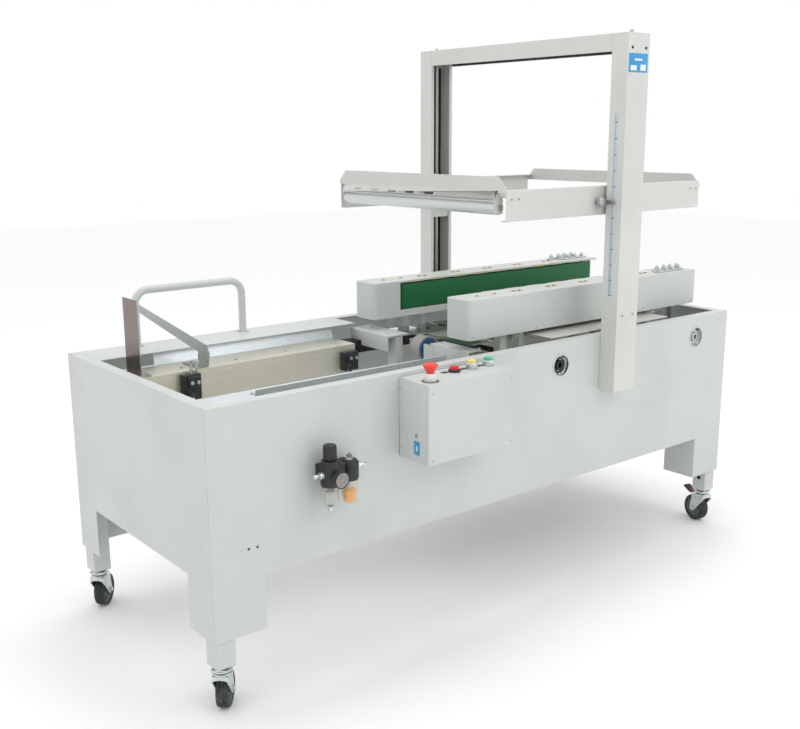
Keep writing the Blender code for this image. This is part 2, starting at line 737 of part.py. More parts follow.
def gearmotor(shop, name, side):
    """The belt's gearmotor, hung under the carriage's outfeed end with its shaft up at the drive pulley."""
    line = belt_line(side)
    half, top = 0.04, CARRIAGE_BOTTOM - GAP
    gear_bottom, motor_bottom, motor_radius = 0.64, 0.50, 0.036
    flange_start, flange_bottom = DRIVE_X - 0.064, 0.733
    gearbox = block((DRIVE_X - half, line - half, gear_bottom), (DRIVE_X + half, line + half, top))
    motor = shop.piece(f"gearmotor_{name}", gearbox, "dark")
    shop.join(motor, block((flange_start, line - half, flange_bottom), (DRIVE_X, line + half, top)))
    shop.join(motor, rod(motor_radius, motor_bottom, gear_bottom + WELD_LAP, "Z", (DRIVE_X, line), 20))


def width_screw(shop, name, x):
    """A screw across the cabinet, left-handed on one half and right-handed on the other, with a socket."""
    socket = -HALF_WIDTH + 0.004
    end, shoulder = HALF_WIDTH - 0.0075, -HALF_WIDTH + 0.0175
    hub_radius, socket_radius, socket_depth = 0.017, 0.008, 0.01
    turned(
        shop,
        name,
        [
            (0, end),
            (SCREW_RADIUS, end),
            (SCREW_RADIUS, shoulder),
            (hub_radius, shoulder),
            (hub_radius, socket),
            (socket_radius, socket),
            (socket_radius, socket + socket_depth),
            (0, socket + socket_depth),
        ],
        "zinc",
        (x, 0, SCREW_HEIGHT),
        (-math.pi / 2, 0, 0),
        steps=16,
    )


# Table and tape head


def table(shop):
    """The steel table with its tape head slot and post notches, on three cross beams with risers."""
    low = TABLE_HEIGHT - WALL
    clear = TABLE_HEIGHT + THROUGH
    plate = block((TABLE_START, -TABLE_HALF_WIDTH, low), (TABLE_END, TABLE_HALF_WIDTH, TABLE_HEIGHT))
    made = shop.piece("table", plate, "steel")
    tongue_end = TABLE_START + WELD_LAP
    shop.join(made, block((-0.09, -TABLE_HALF_WIDTH, low), (tongue_end, -0.105, TABLE_HEIGHT)))
    shop.join(made, block((-0.125, 0.07, low), (tongue_end, TABLE_HALF_WIDTH, TABLE_HEIGHT)))
    reel_room = (TABLE_START - THROUGH, REEL_X + REEL_RADIUS + 0.014)
    head_room = (HEAD_START - THROUGH, HEAD_END + THROUGH)
    for x0, x1 in (reel_room, head_room):
        shop.cut(made, block((x0, -HEAD_SLOT_HALF, low - THROUGH), (x1, HEAD_SLOT_HALF, clear)))
    notch_start, notch_play = 0.11, 0.005
    notches = [(x0 - notch_play, x1 + notch_play) for x0, x1 in POST_SPANS]
    notches.append((DRIVE_X - 0.02, DRIVE_X + 0.02))
    for side in (-1, 1):
        y0, y1 = sorted((side * notch_start, side * (TABLE_HALF_WIDTH + THROUGH)))
        for x0, x1 in notches:
            shop.cut(made, block((x0, y0, low - THROUGH), (x1, y1, clear)))
    reach = HALF_WIDTH - WALL - GAP
    beam_half, beam_tall, riser_half = 0.02, 0.035, 0.015
    for x, beam_low in ((-0.08, 0.60), (0.70, 0.70), (0.785, 0.70)):
        beam_high = beam_low + beam_tall
        shop.join(made, block((x - beam_half, -reach, beam_low), (x + beam_half, reach, beam_high)))
        for riser in ((-0.12, -0.074), (0.072, 0.118)):
            low_corner = (x - riser_half, riser[0], beam_high - WELD_LAP)
            shop.join(made, block(low_corner, (x + riser_half, riser[1], low + WELD_LAP)))


def tape_head(shop):
    """The bottom tape head: a narrow open frame in the table's slot, with the arm that holds the reel."""
    outer = HEAD_SLOT_HALF - 0.004
    inner = outer - WALL
    bottom, top = 0.62, TABLE_HEIGHT - WALL
    case = block((HEAD_START, -outer, bottom), (HEAD_END, outer, top))
    head = shop.piece("tape_head_frame", case, "steel")
    hollow = block((HEAD_START - THROUGH, -inner, bottom + THROUGH), (HEAD_END - 0.02, inner, top + THROUGH))
    shop.cut(head, hollow)
    arm_start, arm_low, arm_high, boss = HEAD_START + 0.01, 0.781, 0.81, 0.018
    arm = [
        (arm_start, arm_low),
        (arm_start, arm_high),
        (REEL_X - boss, arm_high),
        (REEL_X - boss, REEL_HEIGHT - boss),
        (REEL_X + boss, REEL_HEIGHT - boss),
        (REEL_X + 2 * boss, arm_low),
    ]
    shop.join(head, slab(arm, "Y", inner, outer))
    spindle_end = REEL_LINE - REEL_WIDTH / 2 - 0.001
    shop.join(head, rod(SPINDLE_RADIUS, spindle_end, outer - WELD_LAP, "Y", (REEL_X, REEL_HEIGHT), 16))
    shop.join(head, rod(PIVOT_RADIUS, -inner - WELD_LAP, inner + WELD_LAP, "Y", ARM_PIVOT, 12))


def tape_roll(shop):
    half, bore = REEL_WIDTH / 2, SPINDLE_RADIUS + 0.0008
    profile = [(bore, half), (REEL_RADIUS, half), (REEL_RADIUS, -half), (bore, -half), (bore, half)]
    place = (REEL_X, REEL_LINE, REEL_HEIGHT)
    turned(shop, "tape_roll", profile, "tape", place, (-math.pi / 2, 0, 0), steps=32)


def tape_arm(shop):
    """The sprung arm that lifts the taping roller above the table."""
    x, z = ARM_PIVOT
    place = (x, 0, z)
    sleeve_radius, sleeve_half = 0.014, 0.034
    roller_radius, roller_half, roller_spot = 0.017, 0.031, (-0.066, 0.091)
    plate_inside, plate_outside = 0.024, 0.03
    plate = [(-0.005, -0.008), (-0.075, 0.085), (-0.06, 0.097), (0.01, 0.006)]
    arm = shop.piece("tape_arm", rod(sleeve_radius, -sleeve_half, sleeve_half, "Y", sides=16), "zinc", place)
    shop.join(arm, slab(plate, "Y", -plate_outside, -plate_inside), place)
    shop.join(arm, slab(plate, "Y", plate_inside, plate_outside), place)
    shop.join(arm, rod(roller_radius, -roller_half, roller_half, "Y", roller_spot, 20), place)
    bore_reach = sleeve_half + THROUGH
    shop.cut(arm, rod(PIVOT_RADIUS + 0.0004, -bore_reach, bore_reach, "Y", sides=12), place)


# Infeed


def infeed_guide(shop, name, side):
    """A folded stainless guide: an upright face, a flat flange and a raised back edge."""
    half = WALL / 2
    inner = side * (GUIDE_INNER + half)
    back = side * (GUIDE_INNER + GUIDE_FLANGE)
    lip = side * (GUIDE_INNER + GUIDE_FLANGE + 0.012)
    lip_top = RIM_HEIGHT - 0.009
    sheet = 0.002
    outline = [(inner, GUIDE_BOTTOM), (inner, GUIDE_TOP - half), (back, GUIDE_TOP - half), (lip, lip_top)]
    made = sheet_piece(shop, name, outline, "X", GUIDE_START, GUIDE_END, "steel", sheet)
    notch = 0.15
    y0, y1 = sorted((side * (GUIDE_INNER + GUIDE_FLANGE - 0.004), side * 0.36))
    low_corner = (GUIDE_START - THROUGH, y0, GUIDE_TOP + sheet)
    shop.cut(made, block(low_corner, (GUIDE_START + notch, y1, RIM_HEIGHT)))


def loading_stop(shop):
    """The upright stop plate on the far guide, its diagonal brace and its feet."""
    x, sheet, foot_long = -0.985, 0.0025, 0.035
    base, top = GUIDE_TOP + 0.0005, 1.023
    y0, y1 = GUIDE_INNER + 0.002, GUIDE_INNER + 0.1
    stop = shop.piece("loading_stop", block((x, y0, base), (x + sheet, y1, top)), "steel")
    start = x + WELD_LAP
    shop.join(stop, block((start, y0, base), (x + foot_long, y1, base + sheet)))
    bar = [(start, top - 0.007), (start, top - 0.031), (-0.785, 0.838), (-0.765, 0.848), (-0.765, 0.862)]
    shop.join(stop, slab(bar, "Y", y0, y0 + sheet))
    foot = [(-0.79, base), (-0.76, base), (-0.755, 0.835), (-0.765, 0.862), (-0.785, 0.862), (-0.795, 0.835)]
    shop.join(stop, slab(foot, "Y", y0, y0 + 0.004))
    shop.join(stop, block((-0.80, y0, base), (-0.76, y1, base + sheet)))


def clamps(shop):
    """Two black plastic clamps on the far guide's upright face, one with a knob and one with a lever."""
    face = GUIDE_INNER - GAP
    front = face - 0.032
    length, edge = 0.06, 0.004
    for name, x, low, tall in (("left", -0.862, 0.705, 0.08), ("right", -0.265, 0.708, 0.064)):
        shape = block((x, front, low), (x + length, face, low + tall), edge)
        shop.piece(f"clamp_block_{name}", shape, "dark")
    knob = [(0, 0.026), (0.011, 0.026), (0.014, 0.022), (0.014, 0.01), (0.006, 0.006), (0.006, GAP), (0, GAP)]
    turned(shop, "clamp_knob", knob, "dark", (-0.848, front, 0.718), (math.pi / 2, 0, 0), steps=16)
    place = (-0.252, 0, 0.726)
    lever = shop.piece("clamp_lever", rod(0.011, front - 0.016, front - GAP, "Y", sides=16), "dark", place)
    handle = [(-0.006, 0.0), (0.006, 0.0), (0.005, -0.055), (-0.005, -0.055)]
    shop.join(lever, slab(handle, "Y", front - 0.014, front - 0.006), place)


# Controls and air unit


def control_box(shop):
    front = -HALF_WIDTH - BOX_DEPTH
    back = -HALF_WIDTH - GAP
    end = BOX_START + BOX_LENGTH
    edge = 0.002
    case = block((BOX_START, front, BOX_BOTTOM), (end, back, BOX_TOP), edge)
    box = shop.piece("control_box", case, "white")
    low_corner = (BOX_START + WALL, front + WALL, BOX_BOTTOM + WALL)
    shop.cut(box, block(low_corner, (end - WALL, back + THROUGH, BOX_TOP - WALL)))
    for x, y, base, radius in BUTTONS.values():
        shop.join(box, rod(BEZEL_RADIUS, BOX_TOP - WELD_LAP, BOX_TOP + base, "Z", (x, y), 20))
        hole = rod(radius + 0.0007, BOX_TOP - 0.03, BOX_TOP + base + THROUGH, "Z", (x, y), 16)
        shop.cut(box, hole)


def buttons(shop):
    tail = -0.014
    x, y, base, neck = BUTTONS["emergency_stop"]
    head = [
        (0, 0.051),
        (0.013, 0.051),
        (0.020, 0.048),
        (0.0215, 0.043),
        (0.0178, 0.038),
        (0.0150, base + 0.0055),
        (neck, base + 0.0055),
        (neck, tail),
        (0, tail),
    ]
    turned(shop, "emergency_stop", head, "red", (x, y, BOX_TOP))
    rise = 0.011
    for name, finish in (("stop_button", "red"), ("reset_button", "yellow"), ("start_button", "go_green")):
        x, y, base, radius = BUTTONS[name]
        top = base + rise
        cap = [(0, top), (radius - 0.0015, top), (radius, top - 0.0015), (radius, tail), (0, tail)]
        turned(shop, name, cap, finish, (x, y, BOX_TOP))


def air_unit(shop):
    """A filter-regulator and a lubricator side by side, with a gauge, on the cabinet's near face."""
    wall = -HALF_WIDTH - GAP
    line = -HALF_WIDTH - 0.048
    first, second = -0.763, -0.70
    first_bottom, first_top, second_bottom, second_top = 0.583, 0.655, 0.588, 0.645
    bridge_low, bridge_high, bridge_half = 0.60, 0.64, 0.013
    gauge_radius, gauge_height, gauge_front = 0.023, 0.612, line - 0.056
    port_radius, bracket_reach = 0.009, 0.02
    body = shop.piece("air_unit_body", rod(0.027, first_bottom, first_top, "Z", (first, line), 24), "dark")
    shop.join(body, rod(0.0255, second_bottom, second_top, "Z", (second, line), 24))
    low_corner = (first, line - bridge_half, bridge_low)
    shop.join(body, block(low_corner, (second, line + bridge_half, bridge_high)))
    low_corner = (first - bracket_reach, line, bridge_low)
    shop.join(body, block(low_corner, (second + bracket_reach, wall, bridge_high)))
    shop.join(body, rod(0.011, second_top - WELD_LAP, second_top + 0.017, "Z", (second, line), 16))
    shop.join(body, rod(port_radius, first - 0.045, first, "X", (line, 0.617), 12))
    shop.join(body, rod(port_radius, second, second + 0.043, "X", (line, 0.62), 12))
    shop.join(body, rod(0.008, gauge_front + 0.016, gauge_front + 0.036, "Y", (first, gauge_height), 12))
    shop.join(body, rod(gauge_radius, gauge_front, gauge_front + 0.02, "Y", (first, gauge_height), 24))
    knob = [(0, 0.042), (0.015, 0.042), (0.0175, 0.039), (0.0185, 0.003), (0.0185, GAP), (0, GAP)]
    turned(shop, "regulator_knob", knob, "dark", (first, line, first_top))
    radius, round_down, filter_tall, oil_tall, drain = 0.0205, 0.012, 0.058, 0.066, 0.016
    foot = radius - 0.007
    filter_bowl = [
        (0, -GAP),
        (radius, -GAP),
        (radius, round_down - filter_tall),
        (foot, -filter_tall),
        (0.009, -filter_tall - 0.001),
        (0.009, -filter_tall - drain / 2),
        (0.004, -filter_tall - drain),
        (0, -filter_tall - drain),
    ]
    turned(shop, "filter_bowl", filter_bowl, "clear", (first, line, first_bottom))
    oil_bowl = filter_bowl[:2] + [(radius, round_down - oil_tall), (foot, -oil_tall), (0, -oil_tall)]
    turned(shop, "oil_bowl", oil_bowl, "oil", (second, line, second_bottom))


def main():
    clear_scene()
    shop = Shop()
    side_panel(shop, "side_panel_near", -1)
    side_panel(shop, "side_panel_far", 1)
    end_panel(shop, "end_panel_infeed", -1)
    end_panel(shop, "end_panel_outfeed", 1)
    hoop_handle(shop)
    for name, (x, y, heading) in caster_spots().items():
        caster(shop, name, x, y, heading, name.startswith("right"))
    for name, side in (("near", -1), ("far", 1)):
        column(shop, f"column_{name}", side)
        lift_screw(shop, f"lift_screw_{name}", side)
        top_rail(shop, f"top_rail_{name}", side)
        belt_unit(shop, name, side)
        belt_carriage(shop, name, side)
        gearmotor(shop, name, side)
        infeed_guide(shop, f"infeed_guide_{name}", side)
    gantry_beam(shop)
    press_roller(shop, front_plate(shop))
    cross_plate(shop, "rear_plate", FRAME_END + GAP, 1.305, 1.35, 1)
    lock_knob(shop)
    for name, x in zip(("infeed", "outfeed"), SCREW_PLACES):
        width_screw(shop, f"width_screw_{name}", x)
    table(shop)
    tape_head(shop)
    tape_roll(shop)
    tape_arm(shop)
    loading_stop(shop)
    clamps(shop)
    control_box(shop)
    buttons(shop)
    air_unit(shop)


main()
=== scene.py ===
import json
import math

import bmesh
import bpy
from mathutils import Matrix, Vector


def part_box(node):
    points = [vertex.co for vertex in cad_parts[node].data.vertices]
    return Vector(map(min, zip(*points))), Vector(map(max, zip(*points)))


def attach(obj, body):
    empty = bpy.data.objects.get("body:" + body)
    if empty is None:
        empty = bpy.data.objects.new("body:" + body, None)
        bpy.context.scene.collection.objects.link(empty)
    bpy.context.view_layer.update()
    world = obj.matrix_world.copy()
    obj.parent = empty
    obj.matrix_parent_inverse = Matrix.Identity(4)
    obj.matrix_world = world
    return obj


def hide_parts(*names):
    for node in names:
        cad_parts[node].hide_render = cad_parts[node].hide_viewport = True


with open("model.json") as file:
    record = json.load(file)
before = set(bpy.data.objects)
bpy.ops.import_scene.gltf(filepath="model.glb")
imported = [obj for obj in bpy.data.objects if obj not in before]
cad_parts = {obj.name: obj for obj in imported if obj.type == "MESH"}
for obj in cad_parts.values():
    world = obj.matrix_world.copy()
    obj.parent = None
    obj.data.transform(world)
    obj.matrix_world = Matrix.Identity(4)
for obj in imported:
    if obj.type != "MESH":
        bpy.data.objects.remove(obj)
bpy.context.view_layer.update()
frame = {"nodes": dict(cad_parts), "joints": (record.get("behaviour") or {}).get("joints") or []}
cadNodes = frame["nodes"]
joints = {joint["name"]: joint for joint in frame["joints"]}
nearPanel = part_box("side_panel_near")
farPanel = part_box("side_panel_far")
nearFace = nearPanel[0].y
farFace = farPanel[1].y
midY = (nearFace + farFace) / 2
rimTop = nearPanel[1].z
up = Vector((0, 0, 1))
out = Vector((0, -1, 0))  # from the machine towards the operator


class Value:  # one socket, with the arithmetic that a finish is written in
    def __init__(self, finish, socket):
        self.finish = finish
        self.socket = socket

    def sum(self, operation, first, second):
        return self.finish.node("Math", {"operation": operation}, {0: first, 1: second})

    def __add__(self, other):
        return self.sum("ADD", self, other)

    def __radd__(self, other):
        return self.sum("ADD", other, self)

    def __sub__(self, other):
        return self.sum("SUBTRACT", self, other)

    def __rsub__(self, other):
        return self.sum("SUBTRACT", other, self)

    def __mul__(self, other):
        return self.sum("MULTIPLY", self, other)

    def __rmul__(self, other):
        return self.sum("MULTIPLY", other, self)

    def __truediv__(self, other):
        return self.sum("DIVIDE", self, other)

    def __pow__(self, other):
        return self.sum("POWER", self, other)

    def below(self, other):
        return self.sum("LESS_THAN", self, other)

    def above(self, other):
        return self.sum("GREATER_THAN", self, other)

    def fraction(self):
        return self.sum("FRACT", self, 0.0)

    def size(self):
        return self.sum("ABSOLUTE", self, 0.0)


class Finish:  # a material and its nodes
    def __init__(self, name, **constants):
        self.material = bpy.data.materials.new(name)
        self.material.use_nodes = True
        self.tree = self.material.node_tree
        self.shader = self.tree.nodes["Principled BSDF"]
        for socket, value in constants.items():
            self.shader.inputs[socket.replace("_", " ")].default_value = value

    def node(self, kind, settings, values, output=0):
        made = self.tree.nodes.new("ShaderNode" + kind)
        for key, value in settings.items():
            if key == "stops":
                for spare in made.color_ramp.elements[2:]:
                    made.color_ramp.elements.remove(spare)
                for index, (position, colour) in enumerate(value):
                    if index > 1:
                        made.color_ramp.elements.new(position)
                    made.color_ramp.elements[index].position = position
                    made.color_ramp.elements[index].color = (*colour, 1)
            else:
                setattr(made, key, value)
        for key, value in values.items():
            if isinstance(value, Value):
                self.tree.links.new(value.socket, made.inputs[key])
            else:
                made.inputs[key].default_value = value
        return Value(self, made.outputs[output])

    def place(self, scale=(1, 1, 1)):
        here = self.node("TexCoord", {}, {}, "Object")
        return self.node("Mapping", {}, {"Vector": here, "Scale": scale})

    def axis(self, letter):
        return self.node("SeparateXYZ", {}, {0: self.node("TexCoord", {}, {}, "Object")}, letter)

    def noise(self, scale, detail=3, stretch=(1, 1, 1), roughness=0.55):
        values = {"Vector": self.place(stretch), "Scale": scale, "Detail": detail, "Roughness": roughness}
        return self.node("TexNoise", {}, values, "Factor" if bpy.app.version >= (5, 0, 0) else "Fac")

    def blend(self, share, first, second):
        colours = {6: (*first, 1) if isinstance(first, tuple) else first}
        colours[7] = (*second, 1) if isinstance(second, tuple) else second
        return self.node("Mix", {"data_type": "RGBA"}, {0: share, **colours}, 2)

    def band(self, value, low, high, atLow=0.0, atHigh=1.0):
        values = {0: value, 1: low, 2: high, 3: atLow, 4: atHigh}
        return self.node("MapRange", {}, values)

    def put(self, **links):
        for socket, value in links.items():
            self.tree.links.new(value.socket, self.shader.inputs[socket.replace("_", " ")])
        return self

    def relief(self, height, depth, strength=1.0):
        return self.put(
            Normal=self.node("Bump", {}, {"Strength": strength, "Distance": depth, "Height": height})
        )


def paintFinish(name, colour, shade, gloss=0.42):  # powder coat with fine orange peel and faint soiling
    paint = Finish(name, Specular_IOR_Level=0.45, Coat_Weight=0.12, Coat_Roughness=0.35)
    soil = paint.noise(2.6, 5)
    low = paint.band(paint.axis("Z"), 0.1, 0.75, 0.5, 0.0)
    scuffs = paint.band(paint.noise(34, 4, (1, 1, 0.25)), 0.66, 0.78)
    mask = paint.band(soil, 0.45, 0.8, 0.0, 0.5) + low * soil * 0.35
    paint.put(Base_Color=paint.blend(mask + scuffs * 0.15, colour, shade))
    paint.put(Roughness=paint.band(soil, 0.3, 0.7, gloss - 0.04, gloss + 0.07) + scuffs * 0.1)
    return paint.relief(paint.noise(620, 2) * 0.7 + paint.noise(150, 1) * 0.3, 0.00025, 0.35).material


def brushedFinish(name, colour, grain=(1, 60, 60), rough=0.28, streak=0.16, metal=1.0):  # lined sheet
    steel = Finish(name, Metallic=metal)
    lines = steel.noise(38, 3, grain)
    cloud = steel.noise(5, 3)
    dark = tuple(part * 0.72 for part in colour)
    warm = (colour[0] * 0.96, colour[1] * 0.92, colour[2] * 0.84)
    steel.put(Base_Color=steel.blend(cloud * 0.5, steel.blend(lines, dark, colour), warm))
    steel.put(Roughness=steel.band(lines, 0.3, 0.7, rough - streak / 2, rough + streak) + cloud * 0.08)
    return steel.relief(lines, 0.00012, 0.3).material


def platedFinish(name, colour, tint, rough=0.24):  # zinc plate with its cloudy tint
    plate = Finish(name, Metallic=1.0)
    cloud = plate.noise(70, 4)
    plate.put(Base_Color=plate.blend(plate.band(cloud, 0.35, 0.7), colour, tint))
    plate.put(Roughness=plate.band(plate.noise(240, 3), 0.3, 0.7, rough, rough + 0.16))
    return plate.relief(plate.noise(900, 2), 0.00008, 0.3).material


def mouldedFinish(name, colour, rough=0.45, grain=1500, wear=0.25):  # moulded plastic with a fine spark grain
    plastic = Finish(name, Specular_IOR_Level=0.5)
    cloud = plastic.noise(40, 3)
    pale = tuple(min(1, part * 1.5 + 0.02) for part in colour)
    plastic.put(Base_Color=plastic.blend(plastic.band(cloud, 0.5, 0.8, 0.0, wear), colour, pale))
    plastic.put(Roughness=plastic.band(cloud, 0.3, 0.7, rough - 0.05, rough + 0.1))
    return plastic.relief(plastic.noise(grain, 2), 0.0001, 0.3).material


def rubberFinish(name, colour):
    rubber = Finish(name, Specular_IOR_Level=0.35)
    dust = rubber.band(rubber.noise(60, 5), 0.48, 0.75, 0.0, 0.5)
    rubber.put(Base_Color=rubber.blend(dust, colour, (0.16, 0.17, 0.16)))
    rubber.put(Roughness=0.55 + dust * 0.4)
    return rubber.relief(rubber.noise(800, 3), 0.0002, 0.4).material


def beltFinish(name):  # woven green belt with a fine cross rib
    belt = Finish(name, Specular_IOR_Level=0.3, Sheen_Weight=0.12, Sheen_Roughness=0.5)
    rib = ((belt.axis("X") / 0.0032).fraction() - 0.5).size() * 2
    weave = ((belt.axis("Z") / 0.0024).fraction() - 0.5).size() * 2
    worn = belt.band(belt.noise(9, 4, (0.6, 1, 2)), 0.42, 0.75, 0.0, 0.55)
    green = belt.blend(rib * weave * 0.5, (0.004, 0.125, 0.038), (0.012, 0.18, 0.06))
    belt.put(Base_Color=belt.blend(worn * 0.5, green, (0.03, 0.19, 0.085)))
    belt.put(Roughness=0.5 + worn * 0.2)
    return belt.relief(rib * 0.6 + weave * 0.4, 0.0003, 0.5).material


def scaleFinish(name, start, pitch):  # a blue-gray rule with a tick each pitch and a long tick each ten
    rule = Finish(name, Roughness=0.35)
    height = rule.axis("Z") - start
    fine = (height / pitch).fraction().below(0.28)
    coarse = (height / (pitch * 10)).fraction().below(0.06)
    side = rule.band(rule.axis("Y"), nearFace - 0.036, nearFace - 0.024)
    marks = fine * side.above(0.45) + coarse
    return rule.put(Base_Color=rule.blend(marks, (0.50, 0.58, 0.64), (0.06, 0.12, 0.20))).material


def woundFinish(name, centre):  # the side of a roll of tape, ringed by its turns
    tape = Finish(name, Specular_IOR_Level=0.5)
    flatX = tape.axis("X") - centre.x
    flatZ = tape.axis("Z") - centre.z
    turns = (((flatX * flatX + flatZ * flatZ) ** 0.5) / 0.0016).fraction()
    ring = tape.noise(160, 2) * 0.4 + turns * 0.6
    tape.put(
        Base_Color=tape.blend(ring, (0.24, 0.24, 0.22), (0.40, 0.40, 0.37)), Roughness=0.25 + ring * 0.25
    )
    return tape.relief(turns, 0.0002, 0.4).material


def clearFinish(name, colour, rough=0.06, through=0.92, glow=0.0):
    glass = Finish(name, Base_Color=(*colour, 1), Transmission_Weight=through, IOR=1.42)
    glass.shader.inputs["Emission Color"].default_value = (*colour, 1)
    glass.shader.inputs["Emission Strength"].default_value = glow
    return glass.put(Roughness=glass.band(glass.noise(120, 3), 0.3, 0.8, rough, rough + 0.1)).material


white = paintFinish("whitePowderCoat", (0.565, 0.592, 0.572), (0.44, 0.47, 0.452))
paleWhite = paintFinish("columnPowderCoat", (0.615, 0.625, 0.598), (0.48, 0.49, 0.465))
stainless = brushedFinish("stainlessSheet", (0.90, 0.88, 0.79), rough=0.3, metal=0.7)
# a bluish, brighter copy of the stainless sheet for the guides' upper faces: painted reflection of light blue
paintedReflectionSteel = brushedFinish("paintedReflectionSheet", (0.80, 0.87, 0.93), rough=0.24, metal=0.75)
unitGray = brushedFinish("coverSheet", (0.62, 0.63, 0.61), rough=0.42, metal=0.3)
stopSteel = brushedFinish("brightStainless", (0.55, 0.58, 0.58), (60, 60, 1), 0.22)
# darker copy of the stop's steel for its end faces: painted shade
paintedShadeStainless = brushedFinish("paintedShadeSheet", (0.27, 0.22, 0.205), (60, 60, 1), 0.2)
tableSteel = brushedFinish("polishedTable", (0.60, 0.64, 0.62), (1, 40, 40), 0.07, 0.04)
roundSteel = brushedFinish("turnedSteel", (0.56, 0.56, 0.55), (40, 1, 40), 0.22)
alloy = brushedFinish("machinedAlloy", (0.5, 0.51, 0.52), (1, 30, 30), 0.34)
rollerAlloy = brushedFinish("rollerAlloy", (0.72, 0.76, 0.78), (60, 1, 60), 0.34, 0.1, 0.55)
zinc = platedFinish("zincPlate", (0.55, 0.62, 0.60), (0.70, 0.72, 0.70))
brass = platedFinish("brassPlate", (0.55, 0.40, 0.16), (0.66, 0.52, 0.26))
blackSteel = platedFinish("blackenedSteel", (0.035, 0.036, 0.04), (0.07, 0.07, 0.075), 0.4)
motorEnamel = paintFinish("motorEnamel", (0.045, 0.06, 0.08), (0.09, 0.10, 0.11), 0.36)
tyreRubber = rubberFinish("tyreRubber", (0.022, 0.028, 0.028))
blackRubber = rubberFinish("blackRubber", (0.012, 0.012, 0.013))
beltGreen = beltFinish("greenBelt")
blackPlastic = mouldedFinish("blackPlastic", (0.014, 0.016, 0.019))
grayPlastic = mouldedFinish("grayPlastic", (0.10, 0.11, 0.115))
whitePlastic = mouldedFinish("whitePlastic", (0.72, 0.72, 0.68), 0.35)
pedalRed = mouldedFinish("pedalRed", (0.09, 0.012, 0.014), 0.4)
stopRed = mouldedFinish("stopRed", (0.83, 0.05, 0.028), 0.3)
buttonRed = mouldedFinish("buttonRed", (0.60, 0.015, 0.03), 0.25)
buttonYellow = mouldedFinish("buttonYellow", (0.80, 0.66, 0.20), 0.25)
buttonGreen = mouldedFinish("buttonGreen", (0.05, 0.45, 0.27), 0.25)
coreBlue = mouldedFinish("coreBlue", (0.06, 0.16, 0.42), 0.3)
labelBlue = mouldedFinish("labelBlue", (0.03, 0.30, 0.58), 0.3, 900, 0.1)
clipCream = mouldedFinish("clipCream", (0.60, 0.55, 0.38), 0.4)
labelWhite = mouldedFinish("labelWhite", (0.75, 0.80, 0.82), 0.35)
clearBowl = clearFinish("clearBowl", (0.93, 0.94, 0.92))
# the oil glows amber: painted light standing in for light shining through the oil
amberOil = clearFinish("amberOil", (0.95, 0.44, 0.02), 0.05, 0.1, 0.22)
dialGray = mouldedFinish("dialGray", (0.30, 0.29, 0.28), 0.35)
print("finishes made")


def rounded(form, edges, width, segments=2):
    if edges and width:
        settings = {"segments": segments, "profile": 0.5, "affect": "EDGES", "clamp_overlap": False}
        bmesh.ops.bevel(form, geom=edges, offset=width, material=-1, **settings)
    return form


def sharpEdges(form, angle=32, shortest=0.0):
    limit = math.radians(angle)
    return [
        edge
        for edge in form.edges
        if len(edge.link_faces) == 2 and edge.calc_face_angle(0) > limit and edge.calc_length() > shortest
    ]


def boxForm(low, high, width=0.0, segments=2):
    form = bmesh.new()
    size = [b - a for a, b in zip(low, high)]
    middle = [(a + b) / 2 for a, b in zip(low, high)]
    bmesh.ops.create_cube(form, size=1, matrix=Matrix.Translation(middle) @ Matrix.Diagonal((*size, 1)))
    return rounded(form, form.edges[:], width, segments)


def spunForm(profile, width=0.0, steps=48, segments=2):  # (radius, height) pairs turned about Z
    form = bmesh.new()
    points = [form.verts.new((radius, 0, height)) for radius, height in profile]
    edges = [form.edges.new(pair) for pair in zip(points, points[1:])]
    turn = 2 * math.pi
    bmesh.ops.spin(
        form, geom=points + edges, cent=(0, 0, 0), axis=(0, 0, 1), angle=turn, steps=steps, use_merge=True
    )
    bmesh.ops.remove_doubles(form, verts=form.verts[:], dist=1e-6)
    bmesh.ops.dissolve_degenerate(form, dist=1e-7, edges=form.edges[:])
    bmesh.ops.recalc_face_normals(form, faces=form.faces[:])
    return rounded(form, sharpEdges(form), width, segments)


def plateForm(outline, axis, low, high, width=0.0, segments=2):  # a flat outline drawn out along an axis
    form = bmesh.new()
    spot = "XYZ".index(axis)
    ring = []
    for pair in outline:
        point = list(pair)
        point.insert(spot, low)
        ring.append(form.verts.new(point))
    grown = bmesh.ops.extrude_face_region(form, geom=[form.faces.new(ring)])["geom"]
    travel = Vector([high - low if i == spot else 0 for i in range(3)])
    bmesh.ops.translate(form, verts=[v for v in grown if isinstance(v, bmesh.types.BMVert)], vec=travel)
    bmesh.ops.recalc_face_normals(form, faces=form.faces[:])
    return rounded(form, sharpEdges(form), width, segments)


def hexForm(across, height, width=0.0006):  # a nut or a bolt head
    form = bmesh.new()
    radius = across / math.sqrt(3)
    grown = bmesh.ops.create_cone(
        form, cap_ends=True, segments=6, radius1=radius, radius2=radius, depth=height
    )
    bmesh.ops.translate(form, verts=grown["verts"], vec=(0, 0, height / 2))
    return rounded(form, sharpEdges(form), width)


def turnedTo(form, place, facing=up, spin=0.0):  # lays local Z along facing, at place
    aim = up.rotation_difference(Vector(facing)).to_matrix().to_4x4()
    matrix = Matrix.Translation(place) @ aim @ Matrix.Rotation(spin, 4, "Z")
    bmesh.ops.transform(form, matrix=matrix, verts=form.verts[:])
    return form


def moved(form, matrix):
    bmesh.ops.transform(form, matrix=matrix, verts=form.verts[:])
    return form


def tinted(form, index):
    for face in form.faces:
        face.material_index = index
    return form


def joined(*forms):
    whole = bmesh.new()
    for form in forms:
        mesh = bpy.data.meshes.new("joining")
        form.to_mesh(mesh)
        form.free()
        whole.from_mesh(mesh)
        bpy.data.meshes.remove(mesh)
    return whole


